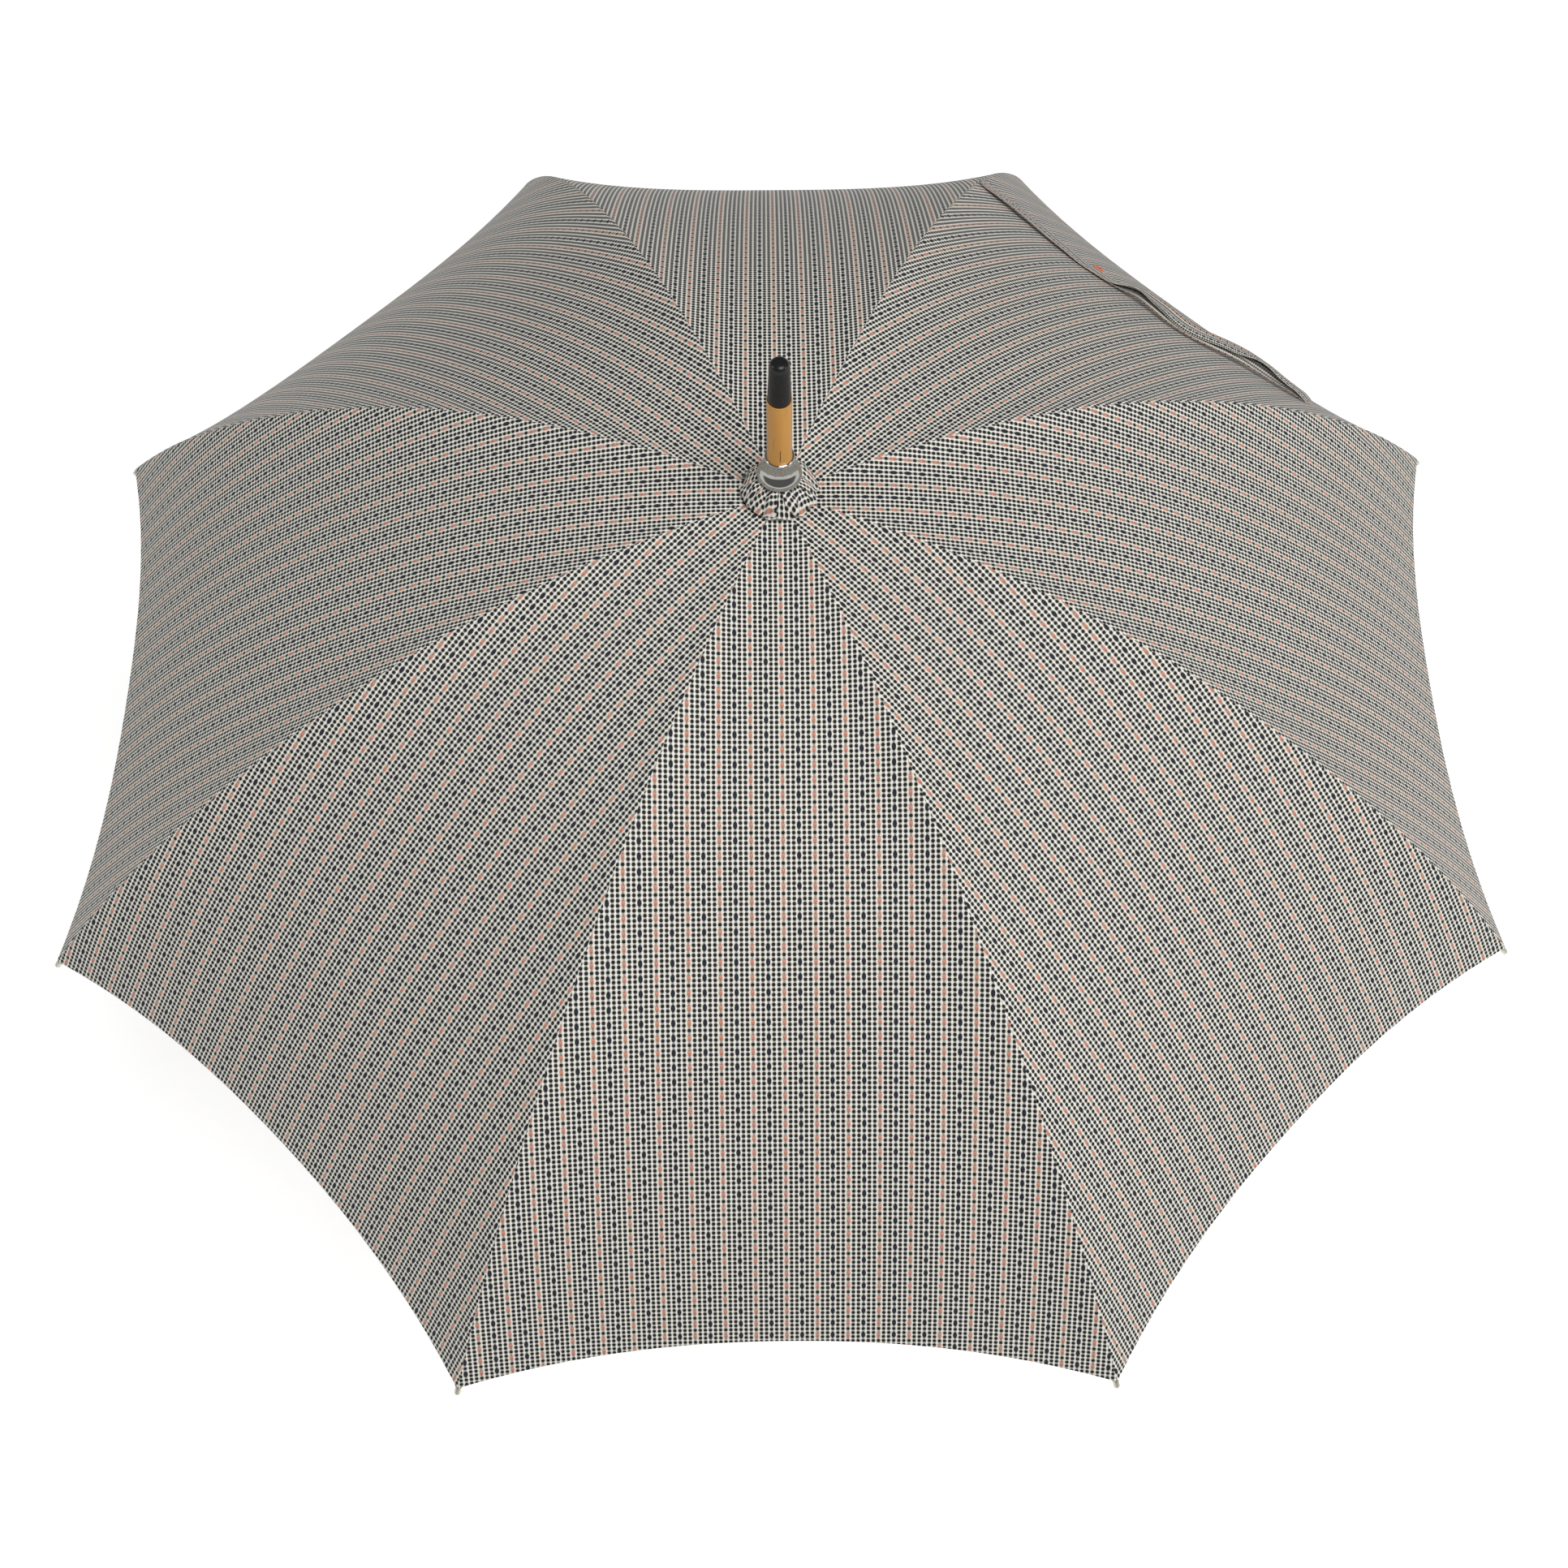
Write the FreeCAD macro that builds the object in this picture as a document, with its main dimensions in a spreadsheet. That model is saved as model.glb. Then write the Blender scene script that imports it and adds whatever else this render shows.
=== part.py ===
"""Stick umbrella, shown open: wooden stick, eight sprung ribs, stretchers, runner, canopy and crook.

Millimetres, +Z up along the stick. The origin is the middle of the hand grip, on the stick's axis.
"""
import FreeCAD, Part
import math
import os
import re

import Sketcher

doc = FreeCAD.newDocument("StickUmbrella")

# ---------------------------------------------------------------- driving dimensions

SIZES = [
    ("rib_count", 8, "ribs, stretchers and gores"),
    ("first_rib", -67.5, "azimuth of rib 1, degrees"),
    ("shaft_radius", 8, "wooden stick"),
    ("shaft_foot", 15, "lower end of the stick, inside the handle"),
    ("socket_radius", 6, "stick's tenon in the handle"),
    ("notch_level", 690, "height of the rib hinges in the notch"),
    ("hinge_radius", 12.5, "rib and stretcher hinges, from the axis"),
    ("inner_length", 271.5, "rib from notch to joint, along its curve"),
    ("outer_length", 338.5, "rib from joint to end, along its curve"),
    ("start_slope", -5, "rib's downward slope at the notch, degrees"),
    ("knee_slope", 25, "slope at the joint"),
    ("tip_slope", 51, "slope at the end"),
    ("rib_width", 3.2, "channel section, across"),
    ("rib_depth", 3.4, "channel section, deep"),
    ("channel_gap", 2, "inside width of the channels"),
    ("steel", 0.6, "sheet that the channels are rolled from"),
    ("eye_radius", 1.9, "rolled eye at a hinge"),
    ("eye_hole", 0.9, "hole in an eye"),
    ("tongue_width", 1.8, "tongue of the outer rib inside the inner one"),
    ("tenon_depth", 2.2, "end of the rib inside its tip"),
    ("wire_radius", 0.6, "ring wire in the notch"),
    ("rivet_radius", 0.8, "rivet at the joint"),
    ("rivet_hole", 0.88, "rivet's hole in the ribs"),
    ("rivet_length", 5.6, "rivet over its heads"),
    ("fork_width", 4.7, "stretcher's fork, outside"),
    ("fork_gap", 3.5, "between the fork's cheeks"),
    ("fork_slot", 14.5, "depth of the fork"),
    ("fork_length", 19, "length of the fork's block"),
    ("stretcher_depth", 3.2, "stretcher's channel, deep"),
    ("pin_radius", 0.75, "cross pin at the stretcher's foot"),
    ("pin_length", 6.4, "cross pin"),
    ("crown_radius", 15.5, "slotted crowns of notch and runner"),
    ("crown_half", 5, "half height of a slotted crown"),
    ("slot_floor", 10.4, "bottom of the slots, from the axis"),
    ("slot_half", 1.9, "half width of a slot"),
    ("pin_way_half", 0.95, "half depth of the way for the cross pins"),
    ("pin_way_reach", 3.45, "half width of that way"),
    ("notch_top", 2.2, "notch above its hinges"),
    ("notch_hub", 11.5, "notch's plain hub"),
    ("notch_foot", 16, "notch below its hinges"),
    ("cross_pin_radius", 1, "pins through the stick"),
    ("notch_pin_length", 23, "pin through the notch"),
    ("stop_pin_length", 20.4, "pin that stops the runner"),
    ("runner_drop", 93.2, "runner hinges below the notch hinges, open"),
    ("runner_bore", 8.06, "runner's bore"),
    ("runner_radius", 10.3, "runner's tube"),
    ("runner_length", 70, "tube below the hinges"),
    ("keyway_floor", 9.78, "channel in the runner for the catches"),
    ("keyway_half", 1.1, "half width of that channel"),
    ("catch_thickness", 1.2, "spring catch"),
    ("catch_slot", 1.6, "slot in the stick for a catch"),
    ("catch_proud", 9.5, "catch's step, from the axis"),
    ("catch_hole", 0.85, "catch's pivot hole"),
    ("catch_pin_radius", 0.8, "catch's pivot pin"),
    ("catch_reach", 70, "pivot to step"),
    ("wood_top", 98.9, "wood above the notch hinges"),
    ("end_wood_radius", 7.8, "wood above the ring, eased so that cap and ring slip over it"),
    ("ring_height", 2.2, "thin ring above the cap"),
    ("point_tenon", 5, "radius of the tenon in the black point"),
    ("point_length", 34.8, "black point"),
    ("point_foot_radius", 7.25, "black point, lower end"),
    ("point_top_radius", 6.3, "black point, upper end"),
    ("cap_foot", 24, "crown cap above the notch hinges"),
    ("cap_height", 17.2, "crown cap"),
    ("cap_radius", 14.2, "crown cap's rim"),
    ("cap_neck", 8.9, "crown cap's neck"),
    ("cap_wall", 0.9, "crown cap's metal"),
    ("rosette_radius", 25, "gathered patch under the cap"),
    ("fabric_lift", 2.5, "cloth above the rib's middle line"),
    ("fabric_thickness", 1, "cloth as a solid"),
    ("crown_hole", 11, "hole at the middle of the canopy"),
    ("scallop", 29.5, "hem's rise between two ribs, along the cloth"),
    ("tip_length", 15, "metal rib tip"),
    ("tip_radius", 2.1, "metal rib tip"),
    ("tip_bore", 1.62, "its bore"),
    ("tip_cover", 8, "rib inside its tip"),
    ("strap_width", 18, "tie strap"),
    ("strap_thickness", 2, "tie strap, two layers"),
    ("strap_root", 428, "strap's sewn end, down the gore along the rib"),
    ("strap_tip", 492, "strap's free end, down the gore along the rib"),
    ("strap_inner", 158, "strap's sewn end, from the gore's middle"),
    ("strap_outer", 150, "strap's free end, from the gore's middle"),
    ("button_radius", 4.5, "strap's button"),
    ("button_place", 50, "strap's button, from the gore's middle"),
    ("grip_radius", 11.5, "handle"),
    ("handle_top", 45, "handle's upper end"),
    ("neck_radius", 10.6, "handle inside its collar"),
    ("neck_length", 7, "handle inside its collar"),
    ("collar_top", 57, "collar's upper end"),
    ("collar_radius", 12.2, "collar's lower rim"),
    ("crook_start", 35, "crook's bend below the grip's middle"),
    ("crook_radius", 45, "crook's bend, middle line"),
    ("crook_end", 22, "straight end of the crook"),
]

sheet = doc.addObject("Spreadsheet::Sheet", "Sizes")
for row, (alias, amount, note) in enumerate(SIZES, start=1):
    sheet.set(f"A{row}", str(amount))
    sheet.setAlias(f"A{row}", alias)
    sheet.set(f"B{row}", note)
doc.recompute()

probe = doc.addObject("App::FeaturePython", "Probe")


def size(formula):
    """Value of a formula on the sheet's words, such as '2 * rib_width'."""
    return float(probe.evalExpression(on_sheet(formula)))


def on_sheet(formula):
    """The same formula with every sheet word written in full."""
    words = "|".join(row[0] for row in SIZES)
    return re.sub(rf"\b({words})\b", r"Sizes.\1", str(formula))


# Formulas for the rib's two arcs. Rib frame: hinge at (0, 0), outward along X, up along Z.
TURN = "180 / pi"
INNER_BEND = f"(inner_length * {TURN} / (knee_slope - start_slope))"
OUTER_BEND = f"(outer_length * {TURN} / (tip_slope - knee_slope))"
INNER_X = f"(-1 * {INNER_BEND} * sin(start_slope * 1 deg))"
INNER_Z = f"(-1 * {INNER_BEND} * cos(start_slope * 1 deg))"
KNEE_X = f"({INNER_X} + {INNER_BEND} * sin(knee_slope * 1 deg))"
KNEE_Z = f"({INNER_Z} + {INNER_BEND} * cos(knee_slope * 1 deg))"
OUTER_X = f"({KNEE_X} - {OUTER_BEND} * sin(knee_slope * 1 deg))"
OUTER_Z = f"({KNEE_Z} - {OUTER_BEND} * cos(knee_slope * 1 deg))"
INNER_ARC = (INNER_X, INNER_Z, INNER_BEND)
OUTER_ARC = (OUTER_X, OUTER_Z, OUTER_BEND)


def slope_at(arc, start, distance):
    """Slope formula at a distance along an arc from the slope where it starts."""
    return f"({start} + {distance} * {TURN} / {arc[2]})"


# ---------------------------------------------------------------- sketch and feature helpers

VERTICAL_AXIS = -2
HORIZONTAL_AXIS = -1


def body_named(name):
    return doc.addObject("PartDesign::Body", name)


def sketch_in(body, plane, name):
    """Sketch on one of the body's own origin planes, by its role."""
    sketch = body.newObject("Sketcher::SketchObject", name)
    sketch.AttachmentSupport = [(next(p for p in body.Origin.OriginFeatures if p.Role == plane), "")]
    sketch.MapMode = "FlatFace"
    return sketch


def turn_sketch(sketch, degrees):
    """Turn a sketch on its plane, about the origin."""
    flat = FreeCAD.Rotation(FreeCAD.Vector(0, 0, 1), 1)
    sketch.AttachmentOffset = FreeCAD.Placement(FreeCAD.Vector(), flat)
    sketch.setExpression("AttachmentOffset.Rotation.Angle", on_sheet(f"({degrees}) * 1 deg"))


def bind(sketch, kind, *rest, formula):
    """One dimension of a sketch, bound to the sheet."""
    number = sketch.addConstraint(Sketcher.Constraint(kind, *rest, size(formula)))
    sketch.setExpression(f"Constraints[{number}]", on_sheet(formula))


def place_point(sketch, item, end, x, y):
    """Tie a point of the sketch to (x, y), each a formula; zero puts it on the axis."""
    for kind, axis, formula in (("DistanceX", VERTICAL_AXIS, x), ("DistanceY", HORIZONTAL_AXIS, y)):
        if abs(size(formula)) < 1e-9:
            sketch.addConstraint(Sketcher.Constraint("PointOnObject", item, end, axis))
        else:
            bind(sketch, kind, -1, 1, item, end, formula=formula)


def outline(sketch, corners):
    """Closed outline of straight sides through corners given as pairs of formulas."""
    spots = [FreeCAD.Vector(size(x), size(y), 0) for x, y in corners]
    first = sketch.GeometryCount
    count = len(spots)
    for index in range(count):
        sketch.addGeometry(Part.LineSegment(spots[index], spots[(index + 1) % count]), False)
    for index in range(count):
        after = first + (index + 1) % count
        sketch.addConstraint(Sketcher.Constraint("Coincident", first + index, 2, after, 1))
    for index, (x, y) in enumerate(corners):
        place_point(sketch, first + index, 1, x, y)


def disc(sketch, x, y, radius):
    """Circle with its centre and radius bound."""
    centre = FreeCAD.Vector(size(x), size(y), 0)
    item = sketch.addGeometry(Part.Circle(centre, FreeCAD.Vector(0, 0, 1), size(radius)), False)
    place_point(sketch, item, 3, x, y)
    bind(sketch, "Radius", item, formula=radius)


def band(sketch, arc, low, high, slope_a, slope_b):
    """Stretch of a curved bar: between two offsets from an arc, from slope_a to slope_b."""
    centre_x, centre_z, bend = arc
    centre = FreeCAD.Vector(size(centre_x), size(centre_z), 0)
    start, end = size(slope_a), size(slope_b)
    items = []
    for offset in (low, high):
        circle = Part.Circle(centre, FreeCAD.Vector(0, 0, 1), size(f"{bend} + {offset}"))
        edge = Part.ArcOfCircle(circle, math.radians(90 - end), math.radians(90 - start))
        item = sketch.addGeometry(edge, False)
        place_point(sketch, item, 3, centre_x, centre_z)
        radius = f"({bend} + {offset})"
        bind(sketch, "Radius", item, formula=radius)
        for point, slope in ((1, slope_b), (2, slope_a)):
            reach = f"({centre_x} + {radius} * sin({slope} * 1 deg))"
            bind(sketch, "DistanceX", -1, 1, item, point, formula=reach)
        items.append(item)
    inner, outer = items
    for point in (1, 2):
        ends = [sketch.getPoint(item, point) for item in items]
        side = sketch.addGeometry(Part.LineSegment(*ends), False)
        sketch.addConstraint(Sketcher.Constraint("Coincident", side, 1, inner, point))
        sketch.addConstraint(Sketcher.Constraint("Coincident", side, 2, outer, point))


def pad(body, sketch, length):
    """Symmetric pad, half each side of the sketch."""
    feature = body.newObject("PartDesign::Pad", sketch.Name + "Pad")
    feature.Profile = sketch
    feature.Midplane = True
    feature.setExpression("Length", on_sheet(length))
    doc.recompute()
    return feature


def pocket(body, sketch, length=None):
    """Symmetric pocket, or one through everything when no length is given."""
    feature = body.newObject("PartDesign::Pocket", sketch.Name + "Pocket")
    feature.Profile = sketch
    before = body.Shape.Volume
    feature.Midplane = True
    if length is None:
        feature.Type = "ThroughAll"
    else:
        feature.setExpression("Length", on_sheet(length))
    doc.recompute()
    if body.Shape.Volume >= before:
        raise RuntimeError(f"{feature.Name} cut nothing")
    return feature


def turned(name, corners):
    """Body of revolution about Z from an outline of (radius, height) formulas."""
    body = body_named(name)
    sketch = sketch_in(body, "XZ_Plane", name + "Outline")
    outline(sketch, corners)
    feature = body.newObject("PartDesign::Revolution", name + "Turn")
    feature.Profile = sketch
    feature.ReferenceAxis = (sketch, ["V_Axis"])
    feature.Angle = 360
    doc.recompute()
    return body


def round_edges(body, radius, wanted):
    """Fillet the edges of the body's last shape that the test picks."""
    names = [f"Edge{n}" for n, edge in enumerate(body.Shape.Edges, start=1) if wanted(edge)]
    last = body.Tip
    feature = body.newObject("PartDesign::Fillet", body.Name + "Round")
    feature.Base = (last, names)
    feature.Radius = radius
    doc.recompute()


def repeat_round(body, features, count):
    """Polar pattern about Z, which becomes the body's tip."""
    pattern = body.newObject("PartDesign::PolarPattern", body.Name + "Pattern")
    pattern.Originals = features
    axis = next(p for p in body.Origin.OriginFeatures if p.Role == "Z_Axis")
    pattern.Axis = (axis, [""])
    pattern.Angle = 360
    pattern.setExpression("Occurrences", on_sheet(count))
    body.Tip = pattern
    doc.recompute()


nodes = []


def keep(item, label, height="0"):
    """Hand the piece in as the node of that name, at a height up the stick."""
    item.Label = label
    if height != "0":
        item.setExpression("Placement.Base.z", on_sheet(height))
    nodes.append(item)
    return item


def set_round(master, stem, radius="0", height="0", turn="0"):
    """One linked copy of a master for each rib, set round the stick."""
    for number in range(1, int(size("rib_count")) + 1):
        azimuth = f"(first_rib + {number - 1} * 360 / rib_count + {turn})"
        copy = doc.addObject("Part::Compound", f"{stem}_{number}")
        copy.Links = [master]
        copy.Placement = FreeCAD.Placement(FreeCAD.Vector(), FreeCAD.Rotation(FreeCAD.Vector(0, 0, 1), 1))
        copy.setExpression("Placement.Rotation.Angle", on_sheet(azimuth + " * 1 deg"))
        copy.setExpression("Placement.Base.x", on_sheet(f"{radius} * cos({azimuth} * 1 deg)"))
        copy.setExpression("Placement.Base.y", on_sheet(f"{radius} * sin({azimuth} * 1 deg)"))
        keep(copy, f"{stem}_{number}", height)


# ---------------------------------------------------------------- stick, point and cap

def make_shaft():
    """One wooden stick, tenoned at both ends and slotted for the two spring catches."""
    top = "(notch_level + wood_top)"
    body = turned("Shaft", [
        ("0", "shaft_foot"),
        ("socket_radius", "shaft_foot"),
        ("socket_radius", "handle_top"),
        ("shaft_radius", "handle_top"),
        ("shaft_radius", RING_TOP),
        ("end_wood_radius", RING_TOP),
        ("end_wood_radius", top),
        ("point_tenon", top),
        ("point_tenon", f"{top} + point_length - 9"),
        ("0", f"{top} + point_length - 9"),
    ])
    slots = sketch_in(body, "YZ_Plane", "CatchSlots")
    for low, high in (("TOP_PIVOT - 4.5", "TOP_PIVOT + catch_reach + 1"),
                      ("BOTTOM_PIVOT - catch_reach - 1", "BOTTOM_PIVOT + 4.5")):
        low, high = spelled(low), spelled(high)
        outline(slots, [("-9", low), ("1.5", low), ("1.5", high), ("-9", high)])
    pocket(body, slots, "catch_slot")
    holes = sketch_in(body, "YZ_Plane", "CatchPinHoles")
    for pivot in (TOP_PIVOT, BOTTOM_PIVOT):
        disc(holes, "-4", pivot, "catch_pin_radius")
    pocket(body, holes)
    pins = sketch_in(body, "YZ_Plane", "CrossPinHoles")
    for level in (NOTCH_PIN, STOP_PIN):
        disc(pins, "0", level, "cross_pin_radius")
    pocket(body, pins)
    keep(body, "shaft")


RING_TOP = "(notch_level + cap_foot + cap_height + ring_height)"
RUNNER_LEVEL = "(notch_level - runner_drop)"
NOTCH_PIN = "(notch_level - 10.5)"
STOP_PIN = f"({RUNNER_LEVEL} + crown_half + cross_pin_radius + 0.1)"
TOP_PIVOT = f"({RUNNER_LEVEL} - runner_length - catch_reach - 0.4)"
KNEE_REACH = f"sqrt({KNEE_X} * {KNEE_X} + {KNEE_Z} * {KNEE_Z})"
CLOSED_SLOPE = "84"
RUNNER_CLOSED = f"(notch_level - 2 * {KNEE_REACH} * sin({CLOSED_SLOPE} * 1 deg))"
BOTTOM_PIVOT = f"({RUNNER_CLOSED} + crown_half + catch_reach + 0.6)"


def spelled(formula):
    """Formula with the catch pivots' heights put in."""
    return formula.replace("TOP_PIVOT", TOP_PIVOT).replace("BOTTOM_PIVOT", BOTTOM_PIVOT)


def make_point():
    """Black plastic point pushed over the stick's upper tenon."""
    body = turned("Point", [
        ("0", "point_length - 9"),
        ("point_tenon", "point_length - 9"),
        ("point_tenon", "0"),
        ("point_foot_radius", "0"),
        ("point_top_radius", "point_length - 3"),
        ("point_top_radius - 0.6", "point_length - 1.2"),
        ("point_top_radius - 2", "point_length - 0.2"),
        ("point_top_radius - 3.4", "point_length"),
        ("0", "point_length"),
    ])
    keep(body, "ferrule_point", "notch_level + wood_top")


def make_cap():
    """Nickel crown cap: a thin flared bell with a close neck round the wood."""
    outer = [("cap_radius", "0"), ("cap_radius", "1.8"), ("cap_radius - 0.9", "4"),
             ("cap_neck + 2.1", "8"), ("cap_neck + 0.7", "11.8"), ("cap_neck", "cap_height - 2.2"),
             ("cap_neck + 0.25", "cap_height - 1"), ("cap_neck", "cap_height")]
    inner = [("shaft_radius", "cap_height"), ("shaft_radius", "11.8"),
             ("cap_neck + 2.1 - cap_wall", "7.2"), ("cap_radius - 0.9 - cap_wall", "3.6"),
             ("cap_radius - cap_wall", "1.6"), ("cap_radius - cap_wall", "0")]
    keep(turned("Cap", outer + inner), "crown_cap", "notch_level + cap_foot")


def make_ring():
    """Thin bright ring on the wood, just above the cap."""
    body = turned("Ring", [
        ("shaft_radius", "0.1"), ("cap_neck + 0.2", "0.1"), ("cap_neck + 0.6", "0.6"),
        ("cap_neck + 0.6", "1.6"), ("cap_neck + 0.1", "ring_height"), ("shaft_radius", "ring_height"),
    ])
    keep(body, "ferrule_ring", "notch_level + cap_foot + cap_height")


def make_rosette():
    """Gathered patch of canopy cloth between the cap and the canopy, as a plain closed cone."""
    body = turned("Rosette", [
        ("shaft_radius", "4.6"),
        ("rosette_radius", "6.2"),
        ("rosette_radius", "7.4"),
        ("rosette_radius - 7", "13"),
        ("cap_radius - 1.4", "cap_foot - 2"),
        ("cap_radius - 2.4", "cap_foot + 1.6"),
        ("shaft_radius", "cap_foot + 1.6"),
    ])
    keep(body, "canopy_rosette", "notch_level")


# ---------------------------------------------------------------- notch, runner and their pins

def make_notch():
    """Slotted crown fixed near the stick's top, with an open groove for the ring wire."""
    body = turned("Notch", [
        ("shaft_radius", "-1 * notch_foot"),
        ("notch_hub", "-1 * notch_foot"),
        ("notch_hub", "-1 * crown_half"),
        ("crown_radius", "-1 * crown_half + 1"),
        ("crown_radius", "notch_top"),
        ("hinge_radius + wire_radius", "notch_top"),
        ("hinge_radius + wire_radius", "-1 * wire_radius"),
        ("hinge_radius - wire_radius", "-1 * wire_radius"),
        ("hinge_radius - wire_radius", "notch_top"),
        ("shaft_radius", "notch_top"),
    ])
    slot = sketch_in(body, "XY_Plane", "NotchSlot")
    turn_sketch(slot, "first_rib")
    edge = "crown_radius + 2"
    outline(slot, [("slot_floor", "-1 * slot_half"), (edge, "-1 * slot_half"),
                   (edge, "slot_half"), ("slot_floor", "slot_half")])
    repeat_round(body, [pocket(body, slot)], "rib_count")
    hole = sketch_in(body, "YZ_Plane", "NotchPinHole")
    disc(hole, "0", "-10.5", "cross_pin_radius")
    pocket(body, hole)
    keep(body, "notch", "notch_level")
    ring = doc.addObject("Part::Torus", "NotchWire")
    ring.setExpression("Radius1", on_sheet("hinge_radius"))
    ring.setExpression("Radius2", on_sheet("wire_radius"))
    keep(ring, "notch_wire", "notch_level")


def make_runner():
    """Sliding runner: a tube with a slotted crown, whose pin ways are open above and below."""
    body = turned("Runner", [
        ("runner_bore", "-1 * runner_length + 0.6"),
        ("runner_bore + 0.6", "-1 * runner_length"),
        ("runner_radius - 0.6", "-1 * runner_length"),
        ("runner_radius", "-1 * runner_length + 0.6"),
        ("runner_radius", "-1 * crown_half - 2"),
        ("crown_radius", "-1 * crown_half"),
        ("crown_radius", "crown_half - 1"),
        ("crown_radius - 1", "crown_half"),
        ("runner_bore", "crown_half"),
    ])
    slot = sketch_in(body, "XY_Plane", "RunnerSlot")
    turn_sketch(slot, "first_rib")
    edge = "crown_radius + 2"
    near, far = "hinge_radius - pin_way_half", "hinge_radius + pin_way_half"
    half = [("slot_floor", "slot_half"), (near, "slot_half"), (near, "pin_way_reach"),
            (far, "pin_way_reach"), (far, "slot_half"), (edge, "slot_half")]
    outline(slot, [(x, f"-1 * {y}") for x, y in half] + half[::-1])
    repeat_round(body, [pocket(body, slot)], "rib_count")
    keyway = sketch_in(body, "XY_Plane", "RunnerKeyway")
    turn_sketch(keyway, "-90")
    outline(keyway, [("7", "-1 * keyway_half"), ("keyway_floor", "-1 * keyway_half"),
                     ("keyway_floor", "keyway_half"), ("7", "keyway_half")])
    pocket(body, keyway)
    keep(body, "runner", RUNNER_LEVEL)


def make_cross_pin(label, radius, length, level, y="0"):
    """Pin through the stick, along X."""
    body = body_named(label.title().replace("_", ""))
    sketch = sketch_in(body, "YZ_Plane", body.Name + "Section")
    disc(sketch, y, "0", radius)
    pad(body, sketch, length)
    keep(body, label, level)


def make_catch(label, pivot, way):
    """Spring catch, a thin leaf with a ramp and a step; way is 1 where the step is its top end."""
    body = body_named(label.title().replace("_", ""))
    leaf = sketch_in(body, "YZ_Plane", body.Name + "Leaf")
    outline(leaf, [
        ("-2", f"{-4 * way}"), ("-6.2", f"{-4 * way}"), ("-7.7", f"{8 * way}"),
        ("-7.9", f"{way} * (catch_reach - 26)"), ("-1 * catch_proud", f"{way} * (catch_reach - 4)"),
        ("-1 * catch_proud", f"{way} * catch_reach"), ("-4.5", f"{way} * catch_reach"),
        ("-5.5", f"{way} * (catch_reach - 24)"), ("-2.6", f"{way} * 6"),
    ])
    pad(body, leaf, "catch_thickness")
    hole = sketch_in(body, "YZ_Plane", body.Name + "Hole")
    disc(hole, "-4", "0", "catch_hole")
    pocket(body, hole)
    keep(body, label, pivot)


# ---------------------------------------------------------------- ribs and stretchers

def make_rib_inner():
    """Inner rib: a curved channel with a rolled eye at the notch and two cheeks at the joint."""
    body = body_named("RibInner")
    bar = sketch_in(body, "XZ_Plane", "InnerBar")
    band(bar, INNER_ARC, "-1 * rib_depth / 2", "rib_depth / 2", "start_slope", "knee_slope")
    pad(body, bar, "rib_width")
    for name, x, z, radius in (("InnerEye", "0", "0", "eye_radius"),
                               ("InnerCheeks", KNEE_X, KNEE_Z, "rib_depth / 2")):
        end = sketch_in(body, "XZ_Plane", name)
        disc(end, x, z, radius)
        pad(body, end, "rib_width")
    channel = sketch_in(body, "XZ_Plane", "InnerChannel")
    band(channel, INNER_ARC, "-1 * rib_depth", "rib_depth / 2 - steel",
         slope_at(INNER_ARC, "start_slope", "6"), slope_at(INNER_ARC, "knee_slope", "-2"))
    pocket(body, channel, "channel_gap")
    gap = sketch_in(body, "XZ_Plane", "InnerFork")
    disc(gap, KNEE_X, KNEE_Z, "rib_depth")
    pocket(body, gap, "channel_gap")
    holes = sketch_in(body, "XZ_Plane", "InnerHoles")
    disc(holes, "0", "0", "eye_hole")
    disc(holes, KNEE_X, KNEE_Z, "rivet_hole")
    pocket(body, holes)
    set_round(body, "rib_inner", "hinge_radius", "notch_level")


def make_rib_outer():
    """Outer rib: a tongue at the joint, then a curved channel, then a tenon for the tip."""
    body = body_named("RibOuter")
    knee = "knee_slope"
    tongue = sketch_in(body, "XZ_Plane", "OuterTongue")
    band(tongue, OUTER_ARC, "-1.3", "1.3", knee, slope_at(OUTER_ARC, knee, "4"))
    pad(body, tongue, "tongue_width")
    eye = sketch_in(body, "XZ_Plane", "OuterEye")
    disc(eye, KNEE_X, KNEE_Z, "1.6")
    pad(body, eye, "tongue_width")
    bar = sketch_in(body, "XZ_Plane", "OuterBar")
    band(bar, OUTER_ARC, "-1 * rib_depth / 2", "rib_depth / 2",
         slope_at(OUTER_ARC, knee, "2.4"), slope_at(OUTER_ARC, "tip_slope", "-1 * tip_cover"))
    pad(body, bar, "rib_width")
    channel = sketch_in(body, "XZ_Plane", "OuterChannel")
    band(channel, OUTER_ARC, "-1 * rib_depth", "rib_depth / 2 - steel",
         slope_at(OUTER_ARC, knee, "6"), slope_at(OUTER_ARC, "tip_slope", "-1 * tip_cover - 3"))
    pocket(body, channel, "channel_gap")
    tenon = sketch_in(body, "XZ_Plane", "OuterTenon")
    band(tenon, OUTER_ARC, "-1 * tenon_depth / 2", "tenon_depth / 2",
         slope_at(OUTER_ARC, "tip_slope", "-1 * tip_cover - 1"), "tip_slope")
    pad(body, tenon, "channel_gap")
    hole = sketch_in(body, "XZ_Plane", "OuterHole")
    disc(hole, KNEE_X, KNEE_Z, "rivet_hole")
    pocket(body, hole)
    set_round(body, "rib_outer", "hinge_radius", "notch_level")


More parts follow.
